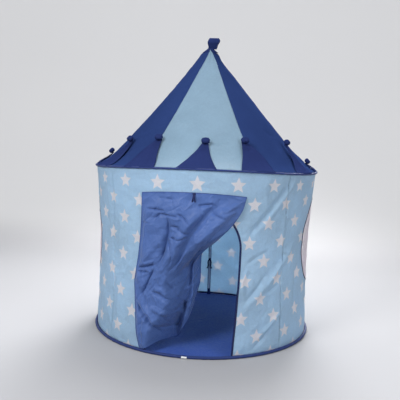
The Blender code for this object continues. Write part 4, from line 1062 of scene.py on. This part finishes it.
def seenDirectly(tree):
    # 1 for the rays that show a thing to the eye, itself or in gloss or through glass, and 0 for light
    rays = tree.nodes.new("ShaderNodeLightPath").outputs
    seen = sums(tree, "MAXIMUM", rays["Is Glossy Ray"], rays["Is Transmission Ray"])
    return sums(tree, "MAXIMUM", rays["Is Camera Ray"], seen)


def studioMaterial():
    # pale paper; its upright part shows paler to the camera than the light on it makes it
    material, tree, shader = startMaterial("studioPaper")
    solid = coordinates(tree, "Object")
    glow = remap(tree, axes(tree, solid)[1], 1.2, 2.9, 0.0, studio["backdropGlow"])
    shade = mixed(tree, noise(tree, solid, 0.6), paint((166, 166, 169)), paint((172, 172, 175)))
    glow = times(tree, seenDirectly(tree), glow)
    feed(tree, shader, {"Base Color": shade, "Roughness": 0.9, "Specular IOR Level": 0.1,
                        "Emission Color": (1, 1, 1, 1), "Emission Strength": glow})
    return material


def areaLamp(name, place, target, size, power, spread=180):
    lamp = bpy.data.lights.new(name, "AREA")
    lamp.shape = "DISK"
    lamp.size = size
    lamp.energy = power
    lamp.spread = radians(spread)
    item = show(name, lamp)
    item.location = place
    item.rotation_euler = (Vector(target) - Vector(place)).to_track_quat("-Z", "Y").to_euler()
    item.visible_camera = False


# the paper lies flat, bends up behind the tent in a quarter circle and runs on upright
turn = linspace(0, pi / 2, 24)
wide, bent = studio["wide"], studio["bendRadius"]
profileY = concatenate([[-wide], studio["bendStart"] + bent * sin(turn), [studio["bendStart"] + bent]])
profileZ = concatenate([[0], bent - bent * cos(turn), [wide]])
grid = np.broadcast_arrays(linspace(-wide, wide, 12), profileY[:, None], profileZ[:, None])
looks["paper"] = studioMaterial()
makeSurface("backdrop", stack(grid, axis=2), "paper")

world = bpy.data.worlds.new("studio")
world.use_nodes = True
bpy.context.scene.world = world
sky = world.node_tree
strength = remap(sky, seenDirectly(sky), 0, 1, studio["world"], studio["worldSeen"])
feed(sky, sky.nodes["Background"], dict(Color=(0.94, 0.97, 1.0, 1), Strength=strength))
areaLamp("keyLamp", (-2.0, -3.2, 3.0), (0, 0, 0.6), 1.6, studio["key"])
areaLamp("topLamp", (0.1, 1.3, 3.5), (0, -0.3, 0.2), 2.4, studio["top"], 130)
areaLamp("behindLamp", (0.5, 3.3, 2.6), (0, 0.5, 0.45), 2.2, studio["behind"], 84)
areaLamp("fillLamp", (2.6, -2.8, 2.2), (0, 0, 0.6), 2.4, studio["fill"])

# the camera stands 3.2 m in front, a little to the right, looks 7.7 degrees down and leans 2 degrees
view = dict(distance=3.2, height=1.0503, azimuth=4.35, pitch=7.712, yaw=-0.464, roll=1.971, lens=58.92)
camera = bpy.data.cameras.new("camera")
camera.lens = view["lens"]
camera.sensor_width = 36
yaw, pitch = radians(view["yaw"]), radians(view["pitch"])
ahead = Vector((sin(yaw) * cos(pitch), cos(yaw) * cos(pitch), -sin(pitch)))
swung = Matrix.Rotation(radians(view["azimuth"]), 3, "Z")
turned = (swung @ ahead).to_track_quat("-Z", "Y").to_matrix().to_4x4()
stand = swung @ Vector((0, -view["distance"], view["height"]))
cameraItem = show("camera", camera)
cameraItem.matrix_world = Matrix.Translation(stand) @ turned @ Matrix.Rotation(radians(view["roll"]), 4, "Z")
bpy.context.scene.camera = cameraItem
bpy.context.scene.view_settings.view_transform = "Standard"

print("scene ready")
